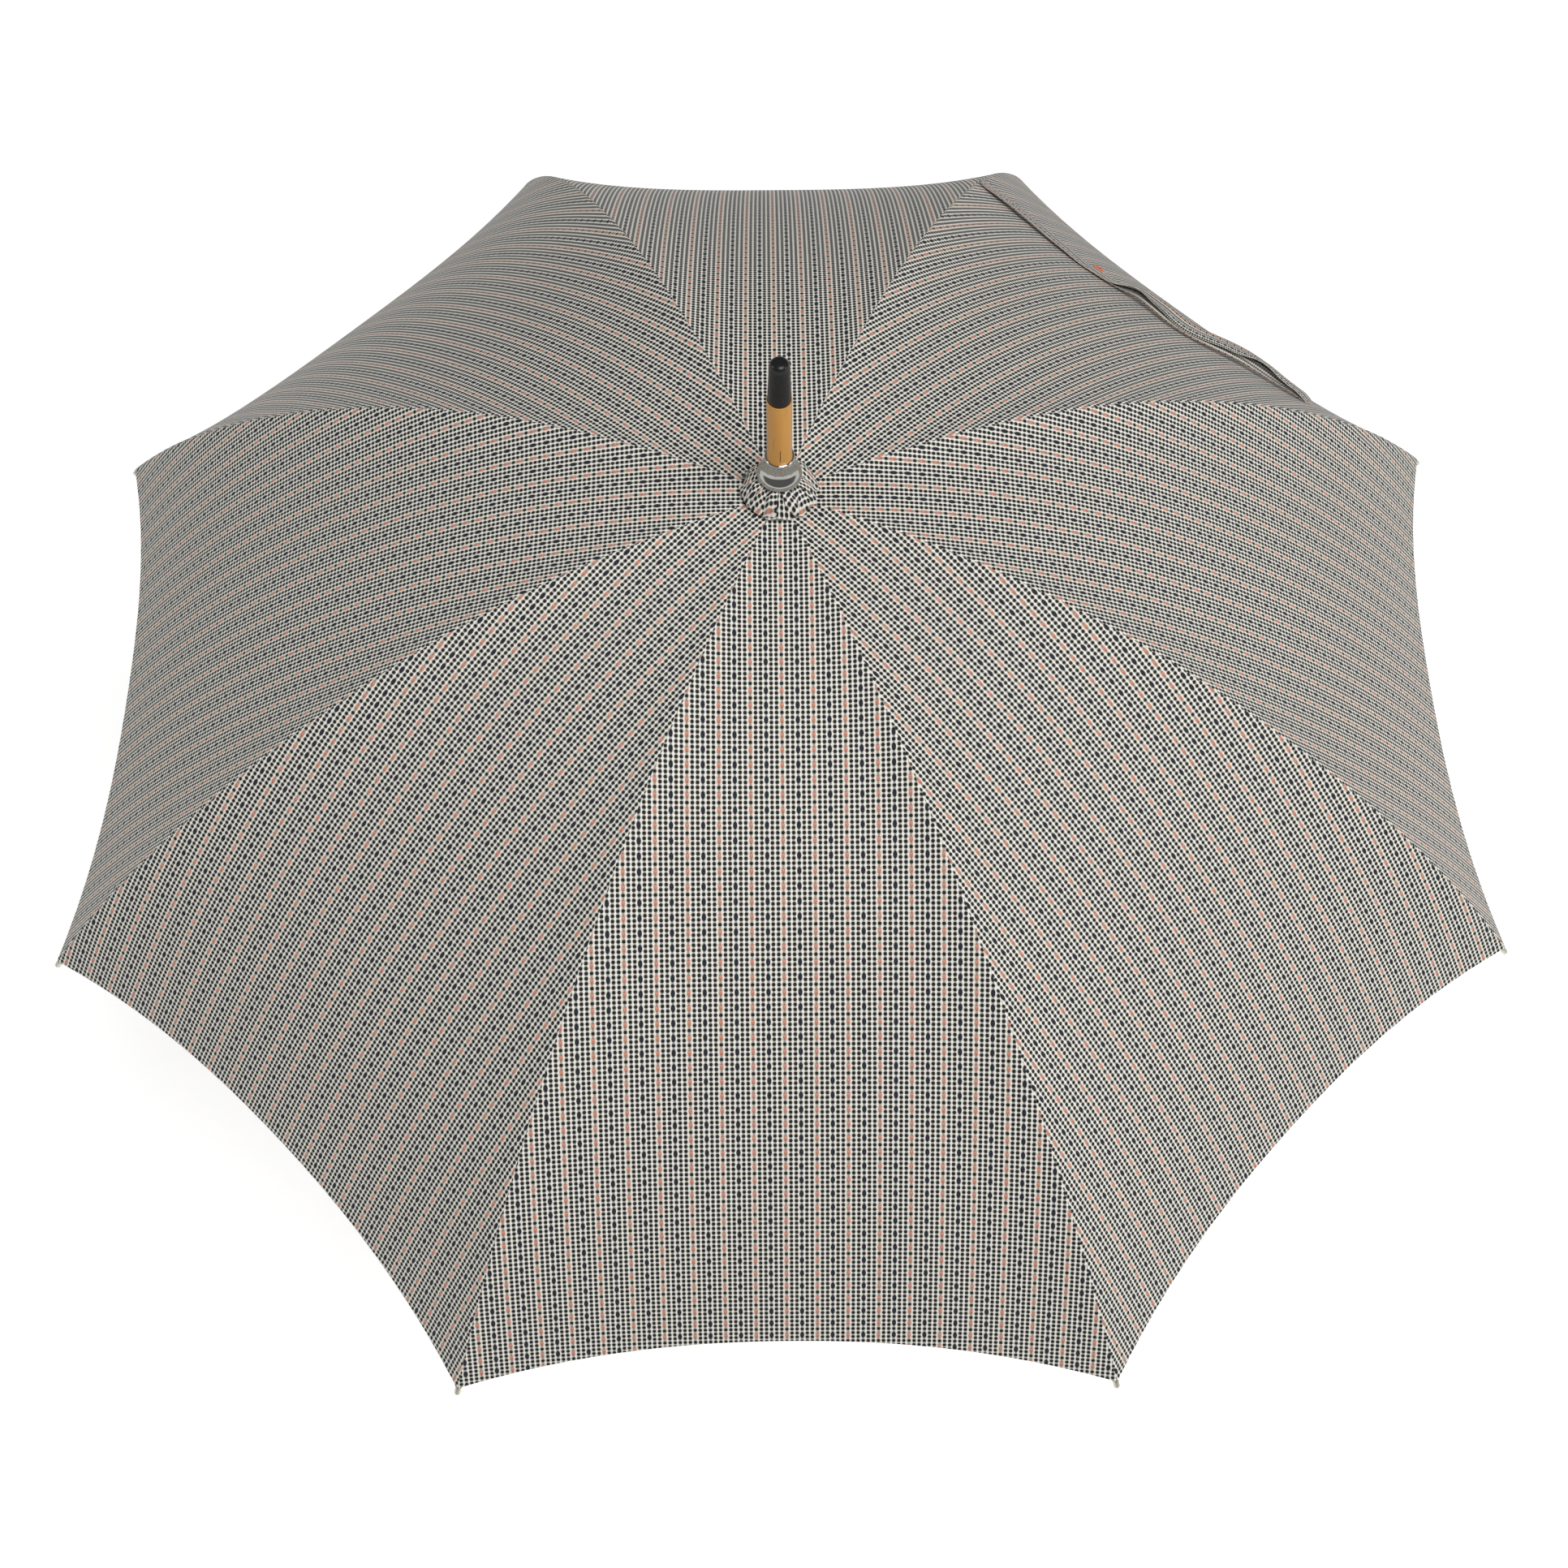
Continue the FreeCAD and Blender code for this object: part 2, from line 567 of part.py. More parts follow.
def make_stretcher():
    """Stretcher: a straight channel, forked round the rib, with its rivet and its cross pin."""
    body = body_named("Stretcher")
    reach = f"(-1 * {KNEE_REACH})"
    half = "stretcher_depth / 2"
    sides = [
        ("StretcherFork", [("0", "-2"), ("0", "2"), ("-1 * fork_length", half),
                           ("-1 * fork_length", f"-1 * {half}")], "fork_width"),
        ("StretcherBar", [("-1 * fork_slot", f"-1 * {half}"), ("-1 * fork_slot", half),
                          (reach, half), (reach, f"-1 * {half}")], "rib_width"),
    ]
    for name, corners, width in sides:
        sketch = sketch_in(body, "XZ_Plane", name)
        outline(sketch, corners)
        pad(body, sketch, width)
    for name, x, radius, width in (("ForkEnd", "0", "2", "fork_width"),
                                   ("FootEnd", reach, "1.8", "rib_width")):
        sketch = sketch_in(body, "XZ_Plane", name)
        disc(sketch, x, "0", radius)
        pad(body, sketch, width)
    gap = sketch_in(body, "XZ_Plane", "ForkGap")
    outline(gap, [("3", "-4"), ("3", "4"), ("-1 * fork_slot", "4"), ("-1 * fork_slot", "-4")])
    pocket(body, gap, "fork_gap")
    channel = sketch_in(body, "XZ_Plane", "StretcherChannel")
    low, high = f"{half} - steel", "-4"
    outline(channel, [("-1 * fork_length - 3", low), (f"{reach} + 10", low),
                      (f"{reach} + 10", high), ("-1 * fork_length - 3", high)])
    pocket(body, channel, "channel_gap")
    for name, x, radius, width in (("Rivet", "0", "rivet_radius", "rivet_length"),
                                   ("FootPin", reach, "pin_radius", "pin_length")):
        sketch = sketch_in(body, "XZ_Plane", name)
        disc(sketch, x, "0", radius)
        pad(body, sketch, width)
    tilt = math.degrees(math.atan2(size(KNEE_Z), size(KNEE_X)))
    body.Placement = FreeCAD.Placement(
        FreeCAD.Vector(size(KNEE_X), 0, size(KNEE_Z)), FreeCAD.Rotation(FreeCAD.Vector(0, 1, 0), tilt))
    set_round(body, "stretcher", "hinge_radius", "notch_level")


def make_rib_tip():
    """Small round metal tip pushed over the rib's end."""
    body = turned("RibTip", [
        ("0", "tip_cover"), ("tip_bore", "tip_cover"), ("tip_bore", "0.3"),
        ("tip_bore + 0.1", "0"), ("tip_radius", "0"), ("tip_radius", "tip_length - 1.1"),
        ("tip_radius - 0.4", "tip_length - 0.4"), ("tip_radius - 1", "tip_length"),
        ("0", "tip_length"),
    ])
    slope = math.radians(size("tip_slope"))
    end_x = size(f"{OUTER_X} + {OUTER_BEND} * sin(tip_slope * 1 deg)")
    end_z = size(f"{OUTER_Z} + {OUTER_BEND} * cos(tip_slope * 1 deg)")
    back = size("tip_cover")
    foot = FreeCAD.Vector(end_x - back * math.cos(slope), 0, end_z + back * math.sin(slope))
    lean = FreeCAD.Rotation(FreeCAD.Vector(0, 1, 0), 90 + size("tip_slope"))
    body.Placement = FreeCAD.Placement(foot, lean)
    set_round(body, "rib_tip", "hinge_radius", "notch_level")


# ---------------------------------------------------------------- canopy and strap

def cloth_curve(lift, start, end):
    """The gore's middle line, in its own upright plane, from one slope to another.

    A gore is flat from rib to rib, so its middle line is the rib's curve drawn in towards the stick.
    """
    inward = math.cos(math.pi / size("rib_count"))
    knee = size("knee_slope")
    edges = []
    for arc, low, high in ((INNER_ARC, size("start_slope"), knee), (OUTER_ARC, knee, size("tip_slope"))):
        low, high = max(low, start), min(high, end)
        if high - low > 1e-6:
            spots = []
            for slope in (low, (low + high) / 2, high):
                reach = size(arc[2]) + lift
                out = size("hinge_radius") + size(arc[0]) + reach * math.sin(math.radians(slope))
                up = size("notch_level") + size(arc[1]) + reach * math.cos(math.radians(slope))
                spots.append(FreeCAD.Vector(out * inward, 0, up))
            edges.append(Part.Arc(*spots).toShape())
    return edges


def cloth_band(low_lift, high_lift, start, end, near=None):
    """Face between two lifts of the gore's middle line; near carries it in to a smaller radius."""
    under, over = cloth_curve(low_lift, start, end), cloth_curve(high_lift, start, end)
    starts = [edges[0].Vertexes[0].Point for edges in (under, over)]
    if near is not None:
        inner = [FreeCAD.Vector(near, 0, spot.z) for spot in starts]
        under = [Part.LineSegment(inner[0], starts[0]).toShape()] + under
        over = [Part.LineSegment(inner[1], starts[1]).toShape()] + over
        starts = inner
    ends = [edges[-1].Vertexes[-1].Point for edges in (under, over)]
    sides = [Part.LineSegment(*starts).toShape(), Part.LineSegment(*ends).toShape()]
    return Part.Face(Part.Wire(Part.__sortEdges__(under + over + sides)))


def gore_plan():
    """Plan of half a gore, its middle line along X, with the scalloped hem as one arc."""
    half = math.pi / size("rib_count")
    slope = math.radians(size("tip_slope"))
    rib_end = size(f"hinge_radius + {OUTER_X} + ({OUTER_BEND} + fabric_lift) * sin(tip_slope * 1 deg)")
    corner = FreeCAD.Vector(rib_end * math.cos(half), -rib_end * math.sin(half), 0)
    middle = FreeCAD.Vector(corner.x - size("scallop") * math.cos(slope), 0, 0)
    quarter = FreeCAD.Vector(middle.x + (corner.x - middle.x) / 4, corner.y / 2, 0)
    hole = size("crown_hole")
    near = [FreeCAD.Vector(hole * math.cos(a), -hole * math.sin(a), 0) for a in (half, half / 2, 0)]
    return Part.Wire([
        Part.Arc(corner, quarter, middle).toShape(),
        Part.LineSegment(middle, near[2]).toShape(),
        Part.Arc(near[2], near[1], near[0]).toShape(),
        Part.LineSegment(near[0], corner).toShape(),
    ])


def make_canopy():
    """Canopy panels: each is the cloth that one rib carries, half a gore to each side of it."""
    low = size("fabric_lift")
    face = cloth_band(low, low + size("fabric_thickness"), size("start_slope"), size("tip_slope"), 5)
    face.translate(FreeCAD.Vector(0, -300, 0))
    strip = face.extrude(FreeCAD.Vector(0, 600, 0))
    prism = Part.Face(gore_plan()).extrude(FreeCAD.Vector(0, 0, 1000))
    half = strip.common(prism).Solids[0]
    half.rotate(FreeCAD.Vector(), FreeCAD.Vector(0, 0, 1), 180 / size("rib_count"))
    panel = half.fuse(half.mirror(FreeCAD.Vector(), FreeCAD.Vector(0, 1, 0))).removeSplitter()
    master = doc.addObject("Part::Feature", "CanopyPanel")
    master.Shape = panel
    set_round(master, "canopy_panel")


def make_strap():
    """Tie strap lying askew across the gore between ribs 3 and 4, and its button on the same gore."""
    low = size("fabric_lift + fabric_thickness + 0.6")
    turn = size("first_rib + 2.5 * 360 / rib_count")

    def slope(place):
        return size(slope_at(OUTER_ARC, "knee_slope", f"({place} - inner_length)"))

    def spot(place, lift):
        at = slope(place)
        return cloth_curve(lift, at, at + 0.02)[0].Vertexes[0].Point

    face = cloth_band(low, low + size("strap_thickness"), slope("strap_root - strap_width"),
                      slope("strap_tip + strap_width"))
    face.translate(FreeCAD.Vector(0, -size("strap_outer"), 0))
    strip = face.extrude(FreeCAD.Vector(0, size("strap_outer + strap_inner"), 0))
    corners = [FreeCAD.Vector(spot(place, low).x, size(side), 0) for place, side in (
        ("strap_root - strap_width / 2", "strap_inner"), ("strap_root + strap_width / 2", "strap_inner"),
        ("strap_tip + strap_width / 2", "-strap_outer"), ("strap_tip - strap_width / 2", "-strap_outer"))]
    prism = Part.Face(Part.makePolygon(corners + corners[:1])).extrude(FreeCAD.Vector(0, 0, 1000))
    strap = doc.addObject("Part::Feature", "TieStrap")
    strap.Shape = strip.common(prism).Solids[0]
    strap.Placement = FreeCAD.Placement(FreeCAD.Vector(), FreeCAD.Rotation(FreeCAD.Vector(0, 0, 1), turn))
    keep(strap, "tie_strap")

    share = "(strap_inner - button_place) / (strap_inner + strap_outer)"
    button_at = f"(strap_root + {share} * (strap_tip - strap_root) + strap_width / 2 + button_radius + 1.5)"
    foot = spot(button_at, low - 0.3)
    body = turned("Button", [
        ("0", "0"), ("button_radius - 0.8", "0"), ("button_radius", "0.8"),
        ("button_radius", "1.6"), ("button_radius - 0.8", "2.4"), ("0", "2.4"),
    ])
    lean = FreeCAD.Rotation(FreeCAD.Vector(0, 1, 0), slope(button_at))
    place = FreeCAD.Placement(FreeCAD.Vector(foot.x, size("button_place"), foot.z), lean)
    spin = FreeCAD.Placement(FreeCAD.Vector(), FreeCAD.Rotation(FreeCAD.Vector(0, 0, 1), turn))
    body.Placement = spin.multiply(place)
    keep(body, "strap_button")


# ---------------------------------------------------------------- handle

def make_handle():
    """Crook handle: one round bar swept round the bend, necked at the top for its collar."""
    body = body_named("Handle")
    path = sketch_in(body, "XZ_Plane", "CrookLine")
    down, bend = "-1 * crook_start", "crook_radius"
    top = path.addGeometry(Part.LineSegment(
        FreeCAD.Vector(0, size("handle_top - neck_length"), 0), FreeCAD.Vector(0, size(down), 0)), False)
    centre = FreeCAD.Vector(size(bend), size(down), 0)
    circle = Part.Circle(centre, FreeCAD.Vector(0, 0, 1), size(bend))
    turn = path.addGeometry(Part.ArcOfCircle(circle, math.pi, 2 * math.pi), False)
    far = size(f"2 * {bend}")
    end = path.addGeometry(Part.LineSegment(
        FreeCAD.Vector(far, size(down), 0), FreeCAD.Vector(far, size(f"{down} + crook_end"), 0)), False)
    path.addConstraint(Sketcher.Constraint("Coincident", top, 2, turn, 1))
    path.addConstraint(Sketcher.Constraint("Coincident", turn, 2, end, 1))
    place_point(path, top, 1, "0", "handle_top - neck_length")
    place_point(path, turn, 3, bend, down)
    place_point(path, turn, 1, "0", down)
    place_point(path, end, 2, f"2 * {bend}", f"{down} + crook_end")
    bind(path, "DistanceY", -1, 1, turn, 2, formula=down)
    section = sketch_in(body, "XY_Plane", "GripSection")
    section.setExpression("AttachmentOffset.Base.z", on_sheet("handle_top - neck_length"))
    disc(section, "0", "0", "grip_radius")
    doc.recompute()
    pipe = body.newObject("PartDesign::AdditivePipe", "CrookPipe")
    pipe.Profile = section
    pipe.Spine = path
    doc.recompute()
    round_edges(body, size("grip_radius - 3.5"), lambda edge: (
        edge.BoundBox.XMin > size(bend) and edge.BoundBox.ZMin > size(down) + 1))
    neck = sketch_in(body, "XY_Plane", "NeckSection")
    neck.setExpression("AttachmentOffset.Base.z", on_sheet("handle_top - neck_length / 2"))
    disc(neck, "0", "0", "neck_radius")
    pad(body, neck, "neck_length")
    bore = sketch_in(body, "XY_Plane", "HandleBore")
    bore.setExpression("AttachmentOffset.Base.z", on_sheet("(shaft_foot + handle_top) / 2"))
    disc(bore, "0", "0", "socket_radius")
    pocket(body, bore, "handle_top - shaft_foot")
    keep(body, "handle")


def make_collar():
    """Nickel collar over the joint of stick and handle."""
    body = turned("Collar", [
        ("neck_radius", "handle_top - neck_length"),
        ("collar_radius", "handle_top - neck_length"),
        ("collar_radius", "handle_top - neck_length + 4"),
        ("collar_radius - 0.9", "handle_top - neck_length + 5"),
        ("collar_radius - 1.1", "handle_top + 2"),
        ("shaft_radius + 1.6", "collar_top - 3"),
        ("shaft_radius + 1.2", "collar_top"),
        ("shaft_radius", "collar_top"),
        ("shaft_radius", "handle_top"),
        ("neck_radius", "handle_top"),
    ])
    keep(body, "handle_collar")


# ---------------------------------------------------------------- build, check and write

make_shaft()
make_point()
make_cap()
make_ring()
make_rosette()
make_notch()
make_runner()
make_cross_pin("notch_pin", "cross_pin_radius", "notch_pin_length", NOTCH_PIN)
make_cross_pin("stop_pin", "cross_pin_radius", "stop_pin_length", STOP_PIN)
make_cross_pin("top_catch_pin", "catch_pin_radius", "13", TOP_PIVOT, "-4")
make_cross_pin("bottom_catch_pin", "catch_pin_radius", "13", BOTTOM_PIVOT, "-4")
make_catch("top_catch", TOP_PIVOT, 1)
make_catch("bottom_catch", BOTTOM_PIVOT, -1)
make_rib_inner()
make_rib_outer()
make_stretcher()
make_rib_tip()
make_canopy()
make_strap()
make_handle()
make_collar()
doc.recompute()

for item in doc.Objects:
    if {"Invalid", "Error"} & set(item.State):
        raise RuntimeError(f"{item.Name} failed: {item.State}")
for item in nodes:
    if item.Shape.isNull() or not item.Shape.isValid():
        raise RuntimeError(f"{item.Label} has no valid shape")
    if len(item.Shape.Solids) != 1:
        raise RuntimeError(f"{item.Label} has {len(item.Shape.Solids)} solids")

os.makedirs("parts", exist_ok=True)
for item in nodes:
    item.Shape.exportStep(os.path.join("parts", item.Label + ".step"))

print(len(nodes), "nodes")
print("knee at", round(size(KNEE_X), 3), round(size(KNEE_Z), 3), "reach", round(size(KNEE_REACH), 3))
print("runner open", round(size(RUNNER_LEVEL), 3), "closed", round(size(RUNNER_CLOSED), 3))
print("catch pivots", round(size(TOP_PIVOT), 3), round(size(BOTTOM_PIVOT), 3))
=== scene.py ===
"""Looks of a stick umbrella, shown open: printed canopy cloth, rosette, crown fittings, strap and frame."""

import math

import bmesh
import bpy
from bpy.props import FloatProperty, FloatVectorProperty, IntProperty, PointerProperty
from bpy.types import Operator, Panel, PropertyGroup
from mathutils import Matrix, Quaternion, Vector


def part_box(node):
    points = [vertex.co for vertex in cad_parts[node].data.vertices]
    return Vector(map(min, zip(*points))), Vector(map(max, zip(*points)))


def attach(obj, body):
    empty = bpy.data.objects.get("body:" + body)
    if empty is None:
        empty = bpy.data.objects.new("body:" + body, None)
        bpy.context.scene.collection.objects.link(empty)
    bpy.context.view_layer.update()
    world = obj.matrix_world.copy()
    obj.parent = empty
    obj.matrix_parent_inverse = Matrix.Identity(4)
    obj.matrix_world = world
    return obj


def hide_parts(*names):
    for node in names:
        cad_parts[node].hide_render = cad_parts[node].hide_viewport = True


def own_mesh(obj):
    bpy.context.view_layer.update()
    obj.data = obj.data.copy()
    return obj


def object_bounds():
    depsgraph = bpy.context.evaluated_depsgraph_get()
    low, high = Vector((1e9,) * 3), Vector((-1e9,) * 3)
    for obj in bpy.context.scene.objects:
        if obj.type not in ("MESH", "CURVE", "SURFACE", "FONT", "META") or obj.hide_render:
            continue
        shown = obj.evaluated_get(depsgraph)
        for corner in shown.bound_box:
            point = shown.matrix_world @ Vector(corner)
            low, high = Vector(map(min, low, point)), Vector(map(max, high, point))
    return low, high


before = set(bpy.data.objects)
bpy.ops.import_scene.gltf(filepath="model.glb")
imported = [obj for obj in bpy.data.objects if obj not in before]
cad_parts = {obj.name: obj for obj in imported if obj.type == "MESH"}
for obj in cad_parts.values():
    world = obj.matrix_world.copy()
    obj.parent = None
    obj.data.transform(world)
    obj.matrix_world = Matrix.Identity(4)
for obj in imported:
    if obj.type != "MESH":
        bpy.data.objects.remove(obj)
CAD_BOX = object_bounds()
CAP_FOOT = 0.024
NOTCH_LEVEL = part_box("crown_cap")[0][2] - CAP_FOOT
RIBS = 8
MM = 0.001

bl_info = {
    "name": "Stick Umbrella",
    "version": (1, 0, 0),
    "blender": (4, 5, 0),
    "location": "3D View > Sidebar > Umbrella",
    "description": "Models the canopy, strap and crown of a stick umbrella and finishes its frame",
    "category": "Object",
}


# ---------------------------------------------------------------- sizes and colours

def linear(red, green, blue):
    """A screen colour of 0 to 255 a channel, as the linear colour that a shader takes."""
    def one(value):
        value /= 255
        return value / 12.92 if value <= 0.04045 else ((value + 0.055) / 1.055) ** 2.4
    return one(red), one(green), one(blue)


def length(name, description, default):
    return FloatProperty(name=name, description=description, default=default, unit="LENGTH", precision=5)


def angle(name, description, degrees):
    return FloatProperty(name=name, description=description, default=math.radians(degrees), subtype="ANGLE")


def colour(name, description, default):
    return FloatVectorProperty(name=name, description=description, default=default, subtype="COLOR",
                               min=0, max=1, size=3)


class UmbrellaSizes(PropertyGroup):
    """Sizes of the umbrella's cloth and fittings."""
    notch_level: length("Notch level", "Height of the rib hinges above the middle of the grip", NOTCH_LEVEL)
    hinge_radius: length("Hinge radius", "From the stick's axis to a rib's hinge", 0.0125)
    inner_length: length("Inner rib", "Rib from its hinge to the knee, along its curve", 0.2715)
    rib_length: length("Whole rib", "Rib from its hinge to its end, along its curve", 0.610)
    hinge_slope: angle("Slope at hinge", "Fall of the rib at its hinge", -5)
    knee_slope: angle("Slope at knee", "Fall of the rib at the knee", 25)
    tip_slope: angle("Slope at tip", "Fall of the rib at its end", 51)
    cloth_lift: length("Cloth above rib", "Outer face of the cloth above the rib's line", 0.00295)
    cloth_thickness: length("Cloth thickness", "Thickness of the woven cloth", 0.00032)
    scallop: length("Scallop", "How far the hem's middle lies above its corners", 0.0255)
    sag: length("Gore hollow", "How far the middle of a gore is drawn in", 0.0125)
    column_pitch: length("Column pitch", "Between two columns of the print", 0.00319)
    row_pitch: length("Row pitch", "Between two rows of the print", 0.0031)
    cap_foot: length("Cap foot", "Cap's rim above the rib hinges", CAP_FOOT)
    cap_height: length("Cap height", "Nickel cap, rim to top", 0.0172)
    wood_top: length("Wood top", "End of the bare wood above the rib hinges", 0.0989)
    point_length: length("Point length", "Black point beyond the wood", 0.0348)
    crack_level: length("Crack level", "Small drying crack above the rib hinges", 0.052)
    strap_width: length("Strap width", "Tie strap, folded and sewn", 0.0165)
    cells_across: IntProperty(name="Cells across", description="Cells of a gore's half, side to side",
                              default=22, min=8)
    cells_along: IntProperty(name="Cells along", description="Cells of a cloth, crown to hem", default=40, min=8)


class UmbrellaColours(PropertyGroup):
    """Colours of the umbrella's cloth, wood and metal."""
    ground: colour("Ground", "Undyed cloth", linear(243, 240, 232))
    ink: colour("Ink", "Small square dots", linear(15, 16, 17))
    shade: colour("Shade", "Half tone between the dots of a column", linear(98, 101, 96))
    navy: colour("Navy", "Dark ovals", linear(24, 27, 40))
    orange: colour("Orange", "Warm ovals", linear(200, 124, 100))
    orange_dark: colour("Orange, dark end", "Lower end of a warm oval", linear(116, 54, 50))
    orange_light: colour("Orange, light", "Middle of a warm oval", linear(226, 172, 152))
    wood_light: colour("Wood, light", "Varnished stick", (0.80, 0.395, 0.070))
    wood_dark: colour("Wood, dark", "Its grain", (0.56, 0.235, 0.032))
    nickel: colour("Nickel", "Cap, ring and collar", (0.66, 0.66, 0.62))
    steel: colour("Steel", "Ribs and stretchers", (0.55, 0.55, 0.54))
    tip: colour("Rib tip", "Rib tips", linear(205, 202, 186))
    plastic: colour("Black plastic", "Point and runner", (0.012, 0.012, 0.013))
    button: colour("Button", "Strap's button", linear(226, 106, 52))
    floor: colour("Floor", "Studio floor", (0.92, 0.92, 0.92))


# ---------------------------------------------------------------- finishes

class Value:
    """A number that changes over a surface; sums and products of it add Math nodes."""

    def __init__(self, finish, socket):
        self.finish, self.socket = finish, socket

    def __add__(self, other):
        return self.finish.maths("ADD", self, other)

    def __radd__(self, other):
        return self.finish.maths("ADD", other, self)

    def __sub__(self, other):
        return self.finish.maths("SUBTRACT", self, other)

    def __rsub__(self, other):
        return self.finish.maths("SUBTRACT", other, self)

    def __mul__(self, other):
        return self.finish.maths("MULTIPLY", self, other)

    def __rmul__(self, other):
        return self.finish.maths("MULTIPLY", other, self)

    def __truediv__(self, other):
        return self.finish.maths("DIVIDE", self, other)

    def __rtruediv__(self, other):
        return self.finish.maths("DIVIDE", other, self)

    def __pow__(self, other):
        return self.finish.maths("POWER", self, other)

    def __abs__(self):
        return self.finish.maths("ABSOLUTE", self)

    def __lt__(self, other):
        return self.finish.maths("LESS_THAN", self, other)

    def __gt__(self, other):
        return self.finish.maths("GREATER_THAN", self, other)

    def floor(self):
        return self.finish.maths("FLOOR", self)

    def clamped(self):
        """The number kept between 0 and 1."""
        return self.finish.maths("ADD", self, 0.0, clamp=True)

    def soft(self, width):
        """1 where the number is well above 0 and 0 well below, over a soft edge of that width."""
        return (self / width + 0.5).clamped()


class Finish:
    """One material, built node by node round its Principled shader."""

    def __init__(self, name, **constants):
        self.material = bpy.data.materials.new(name)
        self.material.use_nodes = True
        self.tree = self.material.node_tree
        self.shader = self.tree.nodes["Principled BSDF"]
        for socket, value in constants.items():
            self.feed(self.shader.inputs[socket.replace("_", " ")], value)

    def feed(self, socket, value):
        """Link a socket to a value, or set its constant."""
        if isinstance(value, Value):
            self.tree.links.new(value.socket, socket)
        elif socket.type == "RGBA":
            socket.default_value = (*tuple(value)[:3], 1)
        else:
            socket.default_value = value

    def node(self, kind, inputs=None, output=0, **settings):
        """A node of that type, its settings made first and its sockets after."""
        made = self.tree.nodes.new(kind)
        for name, value in settings.items():
            setattr(made, name, value)
        for place, value in (inputs or {}).items():
            self.feed(made.inputs[place], value)
        return Value(self, made.outputs[output])

    def maths(self, operation, *terms, clamp=False):
        return self.node("ShaderNodeMath", dict(enumerate(terms)), operation=operation, use_clamp=clamp)

    def mixed(self, share, first, second, blend="MIX"):
        """The first colour with that share of the second one."""
        return self.node("ShaderNodeMix", {0: share, 6: first, 7: second}, output=2, data_type="RGBA",
                         blend_type=blend)

    def place(self, scale=(1, 1, 1), turn=(0, 0, 0)):
        """The point on the piece, stretched by scale."""
        where = self.node("ShaderNodeTexCoord", output="Object")
        return self.node("ShaderNodeMapping", {"Vector": where, "Scale": scale, "Rotation": turn})

    def axis(self, vector, which):
        return self.node("ShaderNodeSeparateXYZ", {"Vector": vector}, output=which)

    def noise(self, where, scale, detail=2.0, rough=0.5):
        return self.node("ShaderNodeTexNoise", {"Vector": where, "Scale": scale, "Detail": detail,
                                                "Roughness": rough})

    def bump(self, height, depth, strength=1.0):
        """Feed the shader's normal from a height."""
        self.feed(self.shader.inputs["Normal"],
                  self.node("ShaderNodeBump", {"Height": height, "Distance": depth, "Strength": strength}))

    def give(self, socket, value):
        self.feed(self.shader.inputs[socket], value)


def printed_cloth(name, sizes, colours, strength=1.0):
    """Off-white cloth printed with square dots and with columns of warm and navy ovals."""
    cloth = Finish(name, Roughness=0.82, Sheen_Weight=0.12, Sheen_Roughness=0.4, Specular_IOR_Level=0.25)
    weave = cloth.node("ShaderNodeUVMap", uv_map="weave")
    x = cloth.axis(weave, 0) / sizes.column_pitch
    y = cloth.axis(weave, 1) / sizes.row_pitch
    wobble = cloth.noise(weave, 260, 1.0)
    x = x + (wobble - 0.5) * 0.10
    column, row = (x + 0.5).floor(), (y + 0.5).floor()
    from_column, from_row = x - column, y - row
    turn = column - 6 * ((column + 0.01) / 6).floor()
    step = (y + 0.5) - 3 * ((y + 0.5) / 3).floor()
    warm = turn < 0.5
    cool = abs(turn - 3) < 0.5
    ovals = warm + cool
    patchy = cloth.noise(weave, 90, 2.0)
    long = 0.80 - warm * (0.06 + patchy * 0.24)
    oval_shape = (1 - (from_column / (0.42 - warm * 0.05)) ** 2 - ((step - 1) / long) ** 2).soft(0.45) * ovals
    dot_shape = (1 - (from_column / 0.345) ** 4 - (from_row / 0.345) ** 4).soft(0.8)
    dot_shape = dot_shape * (1 - ovals * (step < 2.0))
    along = (0.24 - abs(from_column)).soft(0.16) * 0.66
    cross = (0.16 - abs(from_row)).soft(0.16) * 0.26
    thread = cloth.noise(cloth.node("ShaderNodeMapping", {"Vector": weave, "Scale": (3200, 380, 1)}), 1.0, 1.0)
    slub = cloth.noise(cloth.node("ShaderNodeMapping", {"Vector": weave, "Scale": (380, 3200, 1)}), 1.0, 1.0)
    grain = thread * 0.5 + slub * 0.5
    ground = cloth.mixed((along + cross).clamped(), colours.ground, colours.shade)
    ground = cloth.mixed(warm * 0.34, ground, (1.0, 0.90, 0.80), "MULTIPLY")
    ground = cloth.mixed(cool * 0.20, ground, (0.88, 0.94, 1.0), "MULTIPLY")
    lower = (abs(step - 0.95) * 2.4 - 0.95).clamped()
    middle = (0.6 - abs(step - 0.85) * 1.6).clamped()
    warm_oval = cloth.mixed(lower * 0.65, cloth.mixed(middle, colours.orange, colours.orange_light),
                            colours.orange_dark)
    oval_colour = cloth.mixed(warm, colours.navy, warm_oval)
    printed = cloth.mixed(dot_shape * (0.96 * strength), ground, colours.ink)
    fade = 1 - warm * (0.30 - patchy * 0.50).clamped()
    printed = cloth.mixed(oval_shape * fade * (0.97 * strength), printed, oval_colour)
    toned = cloth.mixed((0.10 + grain * 0.20), printed, (0.82, 0.79, 0.76), "MULTIPLY")
    cloth.give("Base Color", toned)
    cloth.bump(grain * 0.5 + oval_shape * 0.6 - dot_shape * 0.2, 0.00022, 0.7)
    return cloth.material


